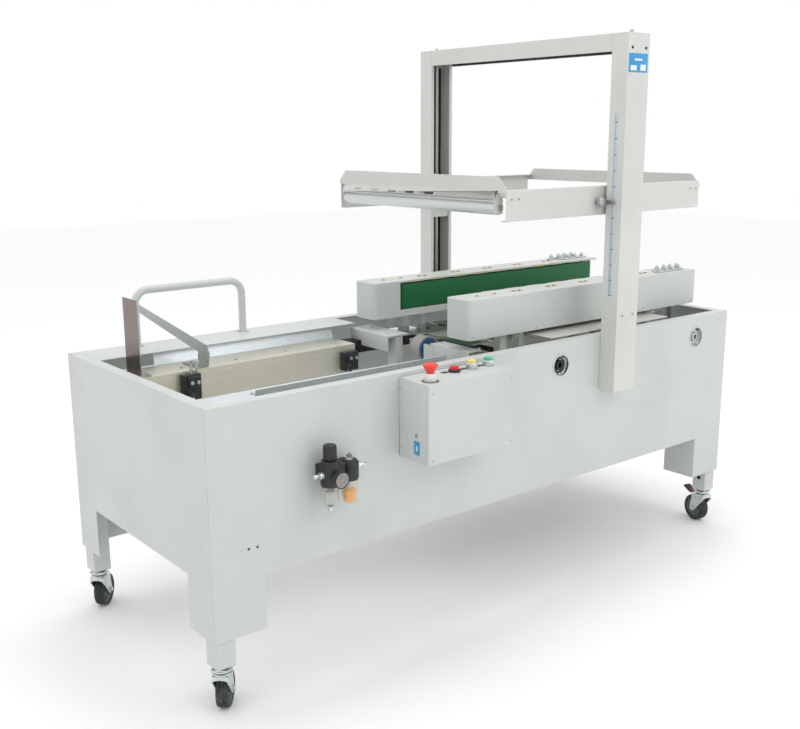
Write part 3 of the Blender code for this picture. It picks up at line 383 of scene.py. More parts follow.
def tubeForm(points, radius, sides=20):  # a round tube along a line of points
    curve = bpy.data.curves.new("tube", "CURVE")
    curve.dimensions = "3D"
    spline = curve.splines.new("POLY")
    spline.points.add(len(points) - 1)
    for spot, point in zip(spline.points, points):
        spot.co = (*point, 1)
    curve.bevel_depth = radius
    curve.bevel_resolution = sides // 4
    curve.use_fill_caps = True
    holder = bpy.data.objects.new("tube", curve)
    bpy.context.scene.collection.objects.link(holder)
    bpy.context.view_layer.update()
    mesh = bpy.data.meshes.new_from_object(holder.evaluated_get(bpy.context.evaluated_depsgraph_get()))
    form = bmesh.new()
    form.from_mesh(mesh)
    bmesh.ops.remove_doubles(form, verts=form.verts[:], dist=1e-6)
    bpy.data.objects.remove(holder)
    return form


def copyForm(node, width=0.0008, shortest=0.003, segments=2):  # a sheet part with its edges eased
    form = bmesh.new()
    form.from_mesh(cadNodes[node].data)
    bmesh.ops.remove_doubles(form, verts=form.verts[:], dist=0.00002)
    flat = math.radians(1)
    bmesh.ops.dissolve_limit(form, angle_limit=flat, verts=form.verts[:], edges=form.edges[:])
    return rounded(form, sharpEdges(form, 40, shortest), width, segments)


def addPiece(name, form, finish, body, stands=(), angle=38, flats=False):
    mesh = bpy.data.meshes.new(name)
    form.to_mesh(mesh)
    form.free()
    for each in finish if isinstance(finish, (list, tuple)) else [finish]:
        mesh.materials.append(each)
    mesh.shade_smooth()
    mesh.set_sharp_from_angle(angle=math.radians(angle))
    piece = bpy.data.objects.new(name, mesh)
    bpy.context.scene.collection.objects.link(piece)
    if flats:
        piece.modifiers.new("flatNormals", "WEIGHTED_NORMAL").keep_sharp = True
    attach(piece, body)
    if stands:
        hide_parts(*stands)


def boltForm(place, facing, across=0.010, height=0.005, washer=0.0085):
    washerForm = spunForm([(0, 0.0012), (washer, 0.0012), (washer, 0), (0, 0)], 0.0003, 24)
    head = turnedTo(hexForm(across, height), (0, 0, 0.0012))
    tip = turnedTo(
        spunForm([(0, 0.0014), (across * 0.22, 0.0014), (across * 0.3, 0), (0, 0)], 0, 16), (0, 0, height)
    )
    return turnedTo(joined(washerForm, head, tip), place, facing, 0.4)


def screwForm(place, facing, radius=0.0042, height=0.0022, spin=0.5):  # a cross-slotted pan head
    dome = [(0, height), (radius * 0.55, height * 0.94), (radius * 0.9, height * 0.55), (radius, 0), (0, 0)]
    slots = []
    for quarter in range(2):
        bar = boxForm(
            (-radius * 0.6, -radius * 0.12, height * 0.9), (radius * 0.6, radius * 0.12, height * 1.06)
        )
        slots.append(tinted(moved(bar, Matrix.Rotation(quarter * math.pi / 2, 4, "Z")), 1))
    return turnedTo(joined(spunForm(dome, 0, 24), *slots), place, facing, spin)


def screwPieces(name, spots, body, finish=None, radius=0.0042):
    forms = [
        screwForm(place, facing, radius, radius * 0.5, index) for index, (place, facing) in enumerate(spots)
    ]
    addPiece(name, joined(*forms), [finish or zinc, blackSteel], body)


def boltPieces(name, spots, body, finish=None, across=0.010):
    forms = [boltForm(place, facing, across, across * 0.45, across * 0.85) for place, facing in spots]
    addPiece(name, joined(*forms), finish or zinc, body)


cabinetKit = {
    "edge": 0.0014, "shortest": 0.006, "holeRadius": 0.035, "bezelWidth": 0.0045, "bezelProud": 0.0018
}
cabinetKit |= {
    "linerDepth": 0.015, "flange": (0.0185, 0.025, 0.027), "flangeTop": 0.0045, "boltCircle": 0.0295
}
cabinetKit |= {"plugs": ((-0.990, 0.449), (-0.964, 0.448)), "postBolt": (0.064, 0.035, 0.185)}
for node in ("side_panel_near", "side_panel_far", "end_panel_infeed", "end_panel_outfeed"):
    name = "skin_" + node
    addPiece(
        name, copyForm(node, cabinetKit["edge"], cabinetKit["shortest"]), white, "cabinet",
        [node], flats=True,
    )

for name in ("infeed", "outfeed"):
    middle = Vector(joints["width_screw_turn_" + name]["pos_m"])
    rim, edge = cabinetKit["holeRadius"], cabinetKit["bezelWidth"]
    deep, proud = cabinetKit["linerDepth"], cabinetKit["bezelProud"]
    bezel = [(rim - 0.001, -deep), (rim - 0.001, proud), (rim + edge, proud), (rim + edge, 0.0001)]
    bezel += [(rim - 0.0004, 0.0001), (rim - 0.0004, -deep), (rim - 0.001, -deep)]
    spot = Vector((middle.x, nearFace, middle.z))
    addPiece("bezel_" + name, turnedTo(spunForm(bezel, 0.0005, 64), spot, out), zinc, "cabinet")
    bore, step, foot = cabinetKit["flange"]
    rise = cabinetKit["flangeTop"]
    flange = [(rim - 0.0012, 0.001), (foot, 0.0012), (step, rise), (bore, rise), (bore, 0), (rim - 0.0012, 0)]
    inside = spot - out * deep
    forms = [turnedTo(spunForm(flange + flange[:1], 0.0004, 56), inside, out)]
    for third in range(3):
        turn = math.radians(35 + third * 120)
        reach = cabinetKit["boltCircle"]
        place = inside + Vector((reach * math.cos(turn), -0.001, reach * math.sin(turn)))
        forms.append(boltForm(place, out, 0.007, 0.0035, 0.0048))
    if name == "infeed":
        ring = [(0.0262, 0.0051), (0.0200, 0.0051), (0.0200, 0.0046), (0.0262, 0.0015), (0.0262, 0.0051)]
        dark = spunForm(ring, 0, 48)
        forms.append(tinted(turnedTo(dark, inside, out), 1))
    addPiece("bearingFlange_" + name, joined(*forms), [zinc, blackSteel], "cabinet")
plugs = [((x, nearFace, z), out) for x, z in cabinetKit["plugs"]]
screwPieces("blindRivets", plugs, "cabinet", finish=grayPlastic, radius=0.0038)
postSpots = []
insetX, insetY, height = cabinetKit["postBolt"]
for end in (-1, 1):
    for side in (-1, 1):
        postX = end * (nearPanel[1].x - insetX)
        postY = midY + side * (midY - nearFace - insetY)
        postSpots.append(((postX, postY, height), (-end, 0, 0)))
boltPieces("postBolts", postSpots, "cabinet", finish=blackSteel, across=0.009)

hoop = {"radius": 0.0125, "bend": 0.045, "arcs": 10, "flangeRadius": 0.021, "flange": 0.004}
low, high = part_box("hoop_handle")
left, right, top = low.x + hoop["radius"], high.x - hoop["radius"], high.z - hoop["radius"]
line = (low.y + high.y) / 2
route = [(left, line, rimTop)]
for middle, begin in ((left + hoop["bend"], math.pi), (right - hoop["bend"], math.pi / 2)):
    for step in range(hoop["arcs"] + 1):
        turn = begin - step * math.pi / 2 / hoop["arcs"]
        x = middle + hoop["bend"] * math.cos(turn)
        route.append((x, line, top - hoop["bend"] * (1 - math.sin(turn))))
route.append((right, line, rimTop))
forms = [tubeForm(route, hoop["radius"], 28)]
for x in (left, right):
    wide, tall = hoop["flangeRadius"], hoop["flange"]
    collar = [(0, tall), (wide, tall), (wide, 0), (0, 0)]
    forms.append(turnedTo(spunForm(collar, 0.0012, 40), (x, line, rimTop)))
addPiece("hoopTube", joined(*forms), white, "cabinet", ["hoop_handle"])
print("cabinet made")


casterKit = {"trail": 0.028, "wheel": 0.05, "half": 0.017, "cheek": 0.0026, "crown": 0.112, "race": 0.027}
casterKit |= {
    "stemTop": 0.1327, "groove": (0.0011, 0.0016, 0.0052), "hubRim": 0.0152, "boss": 0.0135, "ribs": 6
}
casterKit |= {"pedalRib": (0.064, 0.0055, 0.1165, 0.42), "pedalHalf": 0.0158}


def casterFrame(name):
    swivel = Vector(joints["caster_swivel_" + name]["pos_m"])
    across = Vector(joints["wheel_spin_" + name]["axis"])
    along = Vector((across.y, -across.x, 0))
    turn = Matrix((along, across, up)).transposed().to_4x4()
    return Matrix.Translation((swivel.x, swivel.y, 0)) @ turn


def wheelForms():
    half, tyre = casterKit["half"], casterKit["wheel"]
    groove, deep, place = casterKit["groove"]
    side = [
        (tyre - 0.015, half - 0.0015), (tyre - 0.011, half), (tyre - 0.004, half - 0.0003),
        (tyre - 0.001, half - 0.002),
    ]
    tread = [(tyre, half - 0.005)]
    for middle in (place, -place):
        tread += [(tyre, middle + groove), (tyre - deep, middle + groove * 0.6)]
        tread += [(tyre - deep, middle - groove * 0.6), (tyre, middle - groove)]
    tread += [(tyre, -half + 0.005)]
    ring = side + tread + [(radius, -height) for radius, height in reversed(side)] + [side[0]]
    rubber = spunForm(ring, 0, 72)
    hubEdge = tyre - casterKit["hubRim"]
    disc = [
        (0.0058, half - 0.001), (0.0135, half - 0.001), (0.015, half - 0.005),
        (hubEdge - 0.003, half - 0.005),
    ]
    disc += [(hubEdge, half - 0.0016)]
    hubRing = disc + [(radius, -height) for radius, height in reversed(disc)] + [disc[0]]
    hub = [spunForm(hubRing, 0.0005, 64)]
    for rib in range(casterKit["ribs"]):
        for side in (-1, 1):
            low, high = sorted((side * (half - 0.0052), side * (half - 0.0022)))
            bar = boxForm((0.0135, -0.0011, low), (hubEdge - 0.002, 0.0011, high), 0.0004)
            hub.append(moved(bar, Matrix.Rotation(rib * 2 * math.pi / casterKit["ribs"], 4, "Z")))
    return rubber, joined(*hub)


def forkForm():
    half, trail, axle = casterKit["half"] + 0.002, casterKit["trail"], casterKit["wheel"]
    crown, boss, race = casterKit["crown"], casterKit["boss"], casterKit["race"]
    outline = [(-0.027, crown), (-0.0275, crown - 0.018)]
    for step in range(7):
        turn = math.radians(205 + step * 155 / 6)
        outline.append((trail + boss * math.cos(turn), axle + boss * math.sin(turn)))
    outline += [(0.0345, crown - 0.02), (0.033, crown)]
    forms = []
    for side in (-1, 1):
        low, high = sorted((side * half, side * (half + casterKit["cheek"])))
        forms.append(plateForm(outline, "Y", low, high, 0.0008))
        plain = [(0, 0.0012), (0.0095, 0.0012), (0.0095, 0), (0, 0)]
        end = Vector((trail, side * (half + casterKit["cheek"]), axle))
        forms.append(turnedTo(spunForm(plain, 0.0003, 28), end, (0, side, 0)))
        forms.append(
            turnedTo(hexForm(0.0125, 0.0052), end + Vector((0, side * 0.0012, 0)), (0, side, 0), 0.3)
        )
    edge = half + casterKit["cheek"]
    forms.append(boxForm((-0.027, -edge, crown - 0.003), (0.033, edge, crown), 0.0012, 3))
    apron = []
    for step in range(9):
        turn = math.pi * step / 8
        apron.append((-edge * math.cos(turn), crown - 0.010 - 0.008 * (1 - math.sin(turn))))
    shield = [(-edge, crown - 0.001), (edge, crown - 0.001)] + [(y, z) for y, z in reversed(apron)]
    forms.append(plateForm(shield, "X", -0.0284, -0.0258, 0.0006))
    lower = [(0, crown + 0.0045), (race - 0.004, crown + 0.0045), (race, crown + 0.002)]
    lower += [(race, crown - 0.001), (0, crown - 0.001)]
    upper = [
        (0, 0.1245), (race - 0.003, 0.1245), (race - 0.0015, 0.1235), (race - 0.001, 0.1195), (0, 0.1195)
    ]
    forms += [spunForm(lower, 0.0006, 56), spunForm(upper, 0.0006, 56)]
    gap = [(0, 0.1197), (race - 0.0035, 0.1197), (race - 0.0035, 0.1163), (0, 0.1163)]
    forms.append(tinted(spunForm(gap, 0, 48), 1))
    forms.append(boxForm((-0.024, -0.024, 0.1243), (0.024, 0.024, 0.1285), 0.0012))
    stem = casterKit["stemTop"]
    forms.append(spunForm([(0, stem), (0.013, stem), (0.013, 0.128), (0, 0.128)], 0.0004, 36))
    return joined(*forms)


def pedalForm():
    low = [
        (0.037, 0.112), (0.0375, 0.1045), (0.054, 0.1045), (0.070, 0.111), (0.0875, 0.1195), (0.088, 0.1245)
    ]
    outline = low + [(0.078, 0.1215), (0.066, 0.1165), (0.052, 0.1125)]
    half = casterKit["pedalHalf"]
    forms = [plateForm(outline, "Y", -half, half, 0.0012)]
    start, pitch, level, slope = casterKit["pedalRib"]
    for rib in range(4):
        x = start + rib * pitch
        z = level + rib * pitch * slope
        forms.append(boxForm((x, -0.0125, z - 0.001), (x + 0.0022, 0.0125, z + 0.0008), 0.0004))
    return joined(*forms)


for name in ("left_near", "left_far", "right_near", "right_far"):
    matrix = casterFrame(name)
    axle = Matrix.Translation((casterKit["trail"], 0, casterKit["wheel"]))
    hub = matrix @ axle @ Matrix.Rotation(-math.pi / 2, 4, "X")
    rubber, disc = wheelForms()
    wheel = "wheel_" + name
    addPiece("tyre_" + name, moved(rubber, hub), tyreRubber, wheel, ["caster_wheel_" + name])
    addPiece("hub_" + name, moved(disc, hub), grayPlastic, wheel)
    fork, coats = moved(forkForm(), matrix), [zinc, blackRubber]
    addPiece("fork_" + name, fork, coats, "caster_" + name, ["caster_fork_" + name])
    if name.startswith("right"):
        pedal = moved(pedalForm(), matrix)
        addPiece("pedal_" + name, pedal, pedalRed, "brake_" + name, ["brake_pedal_" + name])
print("casters made")


gantryKit = {"edge": 0.0012, "linerWidth": 0.094, "tickPitch": 0.005, "thread": 0.004, "threadDepth": 0.0011}
gantryKit |= {
    "web": 0.0036, "liner": 0.0015, "capScrews": (-0.032, 0.034), "capDrop": 0.045, "screwRadius": 0.009
}
gantryKit |= {"bolt": 0.026, "boltRise": 0.068}
for node in ("column_near", "column_far", "gantry_beam"):
    form = copyForm(node, gantryKit["edge"], 0.006)
    addPiece("skin_" + node, form, paleWhite, "cabinet", [node], flats=True)

for name, side in (("near", -1), ("far", 1)):
    low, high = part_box("column_" + name)
    middle = (low.x + high.x) / 2
    back = high.y - gantryKit["web"] if side > 0 else low.y + gantryKit["web"]
    # a black sheet over the channel's back wall: painted shade for the dark inside of the column channel
    half = gantryKit["linerWidth"] / 2
    y0, y1 = sorted((back, back - side * gantryKit["liner"]))
    liner = boxForm((middle - half, y0, low.z + 0.006), (middle + half, y1, high.z - 0.058), 0.0004)
    addPiece("columnLiner_" + name, liner, blackRubber, "cabinet")
    face = low.y if side < 0 else high.y
    aim = Vector((0, side, 0))
    screws = [((middle + dx, face, high.z - gantryKit["capDrop"]), aim) for dx in gantryKit["capScrews"]]
    screwPieces("columnScrews_" + name, screws, "cabinet", finish=blackSteel, radius=0.0048)
    reach, rise = gantryKit["bolt"], rimTop + gantryKit["boltRise"]
    bolts = [((middle + dx, face, rise), aim) for dx in (-reach, reach)]
    screwPieces("columnBolts_" + name, bolts, "cabinet", finish=zinc, radius=0.006)

    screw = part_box("lift_screw_" + name)
    centre = Vector(joints["lift_screw_turn_" + name]["pos_m"])
    radius = gantryKit["screwRadius"]
    profile = [(0, screw[1].z), (0.0052, screw[1].z), (0.006, screw[1].z - 0.001), (0.006, high.z - 0.0045)]
    profile += [
        (radius, high.z - 0.006), (radius, high.z - 0.03), (0.02, high.z - 0.03), (0.02, high.z - 0.038)
    ]
    profile += [(radius, high.z - 0.038), (radius, high.z - 0.045)]
    turns = int((high.z - 0.05 - screw[0].z - 0.01) / gantryKit["thread"])
    for turn in range(turns):
        z = high.z - 0.047 - turn * gantryKit["thread"]
        profile += [(radius, z), (radius, z - 0.0014), (radius - gantryKit["threadDepth"], z - 0.002)]
        profile += [(radius - gantryKit["threadDepth"], z - 0.0034)]
    profile += [(radius, screw[0].z + 0.006), (radius, screw[0].z), (0, screw[0].z)]
    threaded = turnedTo(spunForm(profile, 0, 20), (centre.x, centre.y, 0))
    node = "lift_screw_" + name
    addPiece("thread_" + node, threaded, roundSteel, node, [node])

low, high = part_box("gantry_beam")
# a thin black sheet inside the beam's back wall: painted shade for the beam's shadowed underside
beamShadeKit = {"behind": (0.0048, 0.0034), "ends": 0.006, "low": 0.0015, "edge": 0.0003}
corner = (high.x - beamShadeKit["behind"][0], nearFace + beamShadeKit["ends"], low.z + beamShadeKit["low"])
far = (high.x - beamShadeKit["behind"][1], farFace - beamShadeKit["ends"], high.z - beamShadeKit["ends"])
addPiece("beamShadeSheet", boxForm(corner, far, beamShadeKit["edge"]), blackRubber, "cabinet")
low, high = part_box("column_near")
ruler = {"width": 0.012, "low": 0.973, "high": 1.55, "inset": 0.030}
strip = boxForm(
    (low.x - 0.0008, nearFace - ruler["inset"] - ruler["width"] / 2, ruler["low"]),
    (low.x + 0.0002, nearFace - ruler["inset"] + ruler["width"] / 2, ruler["high"]),
    0.0002,
)
scale = scaleFinish("scaleStrip", ruler["low"], gantryKit["tickPitch"])
addPiece("heightScale", strip, scale, "cabinet")
badge = {"left": 0.005, "right": 0.008, "top": 0.062, "tall": 0.057}
plateLow = (low.x + badge["left"], low.y - 0.0007, high.z - badge["top"] - badge["tall"])
plateHigh = (high.x - badge["right"], low.y + 0.0002, high.z - badge["top"])
forms = [boxForm(plateLow, plateHigh, 0.0003)]
for x0, x1, z0, z1 in ((0.1, 0.42, 0.1, 0.36), (0.62, 0.9, 0.1, 0.42), (0.3, 0.7, 0.62, 0.72)):
    wide, tall = plateHigh[0] - plateLow[0], badge["tall"]
    corner = (plateLow[0] + x0 * wide, plateLow[1] - 0.0002, plateLow[2] + z0 * tall)
    far = (plateLow[0] + x1 * wide, plateLow[1] + 0.0002, plateLow[2] + z1 * tall)
    forms.append(tinted(boxForm(corner, far, 0.0001), 1))
addPiece("columnBadge", joined(*forms), [labelBlue, labelWhite], "cabinet")
print("gantry made")


topKit = {
    "edge": 0.0011, "shortest": 0.005, "bushRadius": 0.009, "bush": 0.004, "pin": 0.0038, "inset": 0.0065
}
topKit |= {"screws": (0.02, 0.05), "screwLine": 0.418, "screwHeight": 1.30}
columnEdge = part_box("column_near")[0].x
for node in ("top_rail_near", "top_rail_far", "front_plate", "rear_plate"):
    form = copyForm(node, topKit["edge"], topKit["shortest"])
    for face in form.faces:  # the pointer that reaches across to the scale
        middle = face.calc_center_median()
        pointer = middle.y < nearFace + 0.012 and middle.x < columnEdge - 0.001
        face.material_index = int(node == "top_rail_near" and pointer)
    addPiece("skin_" + node, form, [paleWhite, alloy], "top_frame", [node], flats=True)
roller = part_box("press_roller")
centre = Vector(joints["press_roller_spin"]["pos_m"])
radius = (roller[1].z - roller[0].z) / 2
reach = roller[1].y - centre.y
face, pin = reach - topKit["inset"], topKit["pin"]
half = [(0, reach), (pin, reach), (pin, face), (radius - 0.006, face), (radius - 0.0045, face + 0.0012)]
half += [(radius - 0.001, face + 0.0012), (radius, face)]
profile = half + [(far, -place) for far, place in reversed(half)]
spun = turnedTo(spunForm(profile, 0.0004, 64), centre, (0, 1, 0))
addPiece("rollerTube", spun, rollerAlloy, "press_roller", ["press_roller"])
forms = []
for side in (-1, 1):
    end = (centre.x, centre.y + side * (reach - 0.0005), centre.z)
    profile = [
        (0, topKit["bush"]), (topKit["bushRadius"] * 0.5, topKit["bush"]), (topKit["bushRadius"], 0.002)
    ]
    forms.append(
        turnedTo(spunForm(profile + [(topKit["bushRadius"], 0), (0, 0)], 0.0005, 36), end, (0, side, 0))
    )
addPiece("rollerBushes", joined(*forms), alloy, "top_frame")


def knobForm(radius, depth, flutes=10, stem=0.5):  # a fluted hand knob along +Z, flat on its base
    profile = [(0, depth), (radius * 0.62, depth), (radius * 0.92, depth * 0.93), (radius, depth * 0.8)]
    profile += [
        (radius, depth * 0.42), (radius * 0.85, depth * 0.34), (radius * stem, depth * 0.28),
        (radius * stem, 0.0004),
    ]
    form = spunForm(profile + [(0, 0.0004)], 0.0003, flutes * 6)
    for vert in form.verts:
        reach = Vector((vert.co.x, vert.co.y)).length
        if reach > radius * 0.8:
            turn = math.atan2(vert.co.y, vert.co.x) * flutes
            share = 1 - 0.11 * (0.5 - 0.5 * math.cos(turn)) ** 2
            vert.co.x *= share
            vert.co.y *= share
    return form


def knobPiece(name, node, joint, body, finish, flutes=10, capRadius=0.005):
    low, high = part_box(node)
    middle = Vector(joints[joint]["pos_m"])
    base = (middle.x, high.y, middle.z)
    radius, depth = (high.x - low.x) / 2, high.y - low.y
    forms = [turnedTo(knobForm(radius, depth, flutes), base, out)]
    cap = spunForm([(0, 0.0012), (capRadius * 0.8, 0.001), (capRadius, 0), (0, 0)], 0, 24)
    forms.append(tinted(turnedTo(cap, (middle.x, low.y + 0.0001, middle.z), out), 1))
    addPiece(name, joined(*forms), [finish, zinc], body, [node])


knobPiece("lockKnobGrip", "lock_knob", "lock_knob_turn", "lock_knob", alloy)
rails = {"near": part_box("top_rail_near"), "far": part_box("top_rail_far")}
spots = []
for name, side in (("near", -1), ("far", 1)):
    edge = midY + side * topKit["screwLine"]
    start, end = rails[name][0].x, rails[name][1].x
    for x in [start + inset for inset in topKit["screws"]] + [end - inset for inset in topKit["screws"]]:
        spots.append(((x, edge, topKit["screwHeight"]), (0, side, 0)))
screwPieces("railScrews", spots, "top_frame", finish=white, radius=0.005)
print("top frame made")


beltKit = {"thickness": 0.003, "arcs": 20, "edge": 0.0012, "shortest": 0.005}
blockKit = {"rows": ((0, 0.026), (1, -0.004)), "start": 0.205, "end": 0.045, "step": 0.03, "half": 0.009}
blockKit |= {"height": 0.006, "bolts": (0.12, 0.38, 0.62, 0.88)}
motorKit = {
    "gear": 0.04, "foot": 0.64, "plate": 0.0085, "fins": (0.031, 0.036), "count": 11, "pitch": 0.0105,
    "bolt": 0.03,
}
slotKit = {
    "count": 6, "start": 0.075, "pitch": 0.165, "half": 0.009, "long": 0.1, "short": 0.05, "inset": 0.012
}
clipKit = {
    "count": 9, "start": 0.06, "pitch": 0.105, "length": 0.06, "drop": 0.0075, "proud": 0.0012,
    "depth": 0.004,
}


def beltForm(name):  # the belt's closed loop round its two pulleys
    low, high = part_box("side_belt_" + name)
    line = joints["drive_pulley_spin_" + name]["pos_m"][1]
    reach = (high.y - low.y) / 2
    form = bmesh.new()
    ring = []
    for middle, begin in ((high.x - reach, -math.pi / 2), (low.x + reach, math.pi / 2)):
        for step in range(beltKit["arcs"] + 1):
            turn = begin + step * math.pi / beltKit["arcs"]
            ring.append(
                form.verts.new((middle + reach * math.cos(turn), line + reach * math.sin(turn), low.z))
            )
    edges = [form.edges.new((a, b)) for a, b in zip(ring, ring[1:] + ring[:1])]
    grown = bmesh.ops.extrude_edge_only(form, edges=edges)["geom"]
    rise = [v for v in grown if isinstance(v, bmesh.types.BMVert)]
    bmesh.ops.translate(form, verts=rise, vec=(0, 0, high.z - low.z))
    bmesh.ops.recalc_face_normals(form, faces=form.faces[:])
    bmesh.ops.solidify(form, geom=form.faces[:], thickness=beltKit["thickness"])
    bmesh.ops.recalc_face_normals(form, faces=form.faces[:])
    return rounded(form, sharpEdges(form), 0.0006)


for name, side in (("near", -1), ("far", 1)):
    body = "belt_unit_" + name
    node = "belt_housing_" + name
    addPiece(
        "skin_" + node, copyForm(node, beltKit["edge"], beltKit["shortest"]), white, body,
        [node], flats=True,
    )
    node = "side_belt_" + name
    addPiece("loop_" + node, beltForm(name), beltGreen, body, [node])
    low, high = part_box("belt_housing_" + name)
    inner, outer = (low.y, high.y) if side > 0 else (high.y, low.y)
    middle = (low.y + high.y) / 2
    studs = []
    top = high.z + blockKit["height"]
    for row, dy in blockKit["rows"]:  # slotted blocks with their lock bolts and adjusting screws
        start = high.x - blockKit["start"] + row * blockKit["step"]
        end = high.x - blockKit["end"] + row * blockKit["step"]
        line = middle + side * dy
        corner, far = (start, line - blockKit["half"], high.z + 0.0002), (end, line + blockKit["half"], top)
        studs.append(boxForm(corner, far, 0.0012))
        for share in blockKit["bolts"]:
            place = (start + (end - start) * share, line, top)
            studs.append(boltForm(place, up, 0.015, 0.009, 0.012))
            shaft = spunForm([(0, 0.016), (0.0036, 0.0155), (0.004, 0.014), (0.004, 0), (0, 0)], 0, 16)
            studs.append(turnedTo(shaft, place))
    addPiece("tensioners_" + name, joined(*studs), zinc, body)
    slots = []
    half = slotKit["half"]
    for index in range(slotKit["count"]):
        x = low.x + slotKit["start"] + index * slotKit["pitch"]
        reach, tint = (slotKit["short"], 0) if index else (slotKit["long"], 2)
        corner, far = (x, middle - half, high.z - 0.0006), (x + reach, middle + half, high.z + 0.0008)
        slots.append(tinted(boxForm(corner, far, 0.0004), tint))
        for dx in (slotKit["inset"], reach - slotKit["inset"]):
            slots.append(tinted(screwForm((x + dx, middle, high.z + 0.0006), up, 0.0048, 0.002, index), 1))
    for index in range(clipKit["count"]):  # the clips that hold the strip over the belt's upper edge
        x = clipKit["start"] + index * clipKit["pitch"]
        y0, y1 = sorted((inner - side * clipKit["proud"], inner + side * clipKit["depth"]))
        corner, far = (x, y0, high.z - clipKit["drop"]), (x + clipKit["length"], y1, high.z + 0.0008)
        slots.append(tinted(boxForm(corner, far, 0.0005), 2))
    addPiece("topSlots_" + name, joined(*slots), [brass, blackSteel, clipCream], body)
    coverSpots = [((low.x + 0.02 + k * 0.282, outer, low.z + 0.012), (0, side, 0)) for k in range(5)]
    screwPieces("coverScrews_" + name, coverSpots, body, finish=white, radius=0.0042)

    node = "belt_carriage_" + name
    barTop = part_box("table")[1].z - 0.032
    form = copyForm(node, 0.0008, 0.004)
    for face in form.faces:
        face.material_index = int(face.calc_center_median().z > barTop)
    addPiece("bar_" + node, form, [blackSteel, white], body, [node], flats=True)

    for kind in ("drive", "idler"):
        node = f"{kind}_pulley_{name}"
        low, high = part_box(node)
        spot = Vector(joints[f"{kind}_pulley_spin_{name}"]["pos_m"])
        radius = (high.x - low.x) / 2
        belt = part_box("side_belt_" + name)
        drum = [
            (0, high.z), (0.0098, high.z), (0.0098, belt[1].z - 0.002), (radius - 0.001, belt[1].z - 0.002)
        ]
        drum += [
            (radius, belt[1].z - 0.003), (radius, belt[0].z + 0.003), (radius - 0.001, belt[0].z + 0.002)
        ]
        drum += [(0.0098, belt[0].z + 0.002), (0.0098, low.z), (0, low.z)]
        turned = turnedTo(spunForm(drum, 0.0006, 64), (spot.x, spot.y, 0))
        addPiece("drum_" + node, turned, alloy, node, [node])

    node = "gearmotor_" + name
    low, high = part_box(node)
    spot = Vector(joints["drive_pulley_spin_" + name]["pos_m"])
    gear, foot = motorKit["gear"], motorKit["foot"]
    forms = [boxForm((spot.x - gear, spot.y - gear, foot), (spot.x + gear, spot.y + gear, high.z), 0.004, 3)]
    forms.append(
        boxForm((low.x, spot.y - gear, high.z - motorKit["plate"]), (spot.x, spot.y + gear, high.z), 0.001)
    )
    profile = [(0, low.z), (0.026, low.z), (0.033, low.z + 0.004)]
    core, rim = motorKit["fins"]
    for fin in range(motorKit["count"]):
        z = low.z + 0.012 + fin * motorKit["pitch"]
        profile += [(core, z), (rim, z), (rim, z + 0.003), (core, z + 0.003)]
    profile += [(core, foot + 0.0005), (0, foot + 0.0005)]
    forms.append(turnedTo(spunForm(profile[::-1], 0, 40), (spot.x, spot.y, 0)))
    reach = motorKit["bolt"]
    for dx in (-reach, reach):
        for dy in (-reach, reach):
            place = (spot.x + dx, spot.y + dy, foot)
            forms.append(tinted(boltForm(place, (0, 0, -1), 0.008, 0.004, 0.006), 1))
    addPiece("case_" + node, joined(*forms), [motorEnamel, zinc], body, [node])

coverKit = {
    "start": 0.185, "end": 0.8, "rise": 0.003, "inner": 0.225, "outer": 0.384, "fold": 0.009, "sheet": 0.002
}
for name, side in (("near", -1), ("far", 1)):  # the sheet that closes the gap outside the posts
    start, end, height = coverKit["start"], coverKit["end"], rimTop + coverKit["rise"]
    inner = midY + side * coverKit["inner"]
    y0, y1 = sorted((inner, midY + side * coverKit["outer"]))
    lip = sorted((inner, inner - side * 0.0015))
    flat = boxForm((start, y0, height), (end, y1, height + coverKit["sheet"]), 0.0006)
    fold = boxForm((start, lip[0], height), (end, lip[1], height + coverKit["fold"]), 0.0005)
    addPiece("unitCover_" + name, joined(flat, fold), unitGray, "belt_unit_" + name)

screwKit = {"radius": 0.01, "collar": 0.017, "collarLength": 0.0135, "pitch": 0.005, "plain": 0.05}
for name in ("infeed", "outfeed"):
    node = "width_screw_" + name
    low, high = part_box(node)
    spot = Vector(joints["width_screw_turn_" + name]["pos_m"])
    radius, collar, thick = screwKit["radius"], screwKit["collar"], screwKit["collarLength"]
    start, end = low.y - spot.y, high.y - spot.y
    profile = [(0, end), (radius - 0.001, end), (radius, end - 0.001), (radius, end - 0.03)]
    pitch, plain = screwKit["pitch"], screwKit["plain"]
    for turn in range(int((end - start - 0.11) / pitch)):
        y = end - 0.035 - turn * pitch
        if abs(y) > plain:
            profile += [
                (radius, y), (radius, y - 0.0018), (radius - 0.0013, y - 0.0026),
                (radius - 0.0013, y - 0.0042),
            ]
    profile += [
        (radius, start + plain), (radius, start + thick), (collar, start + thick), (collar, start + 0.0012)
    ]
    profile += [(collar - 0.0012, start), (0.0085, start), (0.008, start + 0.001), (0.008, start + 0.0095)]
    profile += [(0, start + 0.0095)]
    turned = turnedTo(spunForm(profile, 0, 32), (spot.x, spot.y, spot.z), (0, 1, 0))
    coat = blackSteel if name == "infeed" else roundSteel
    addPiece("thread_" + node, turned, coat, node, [node])
print("side belts made")


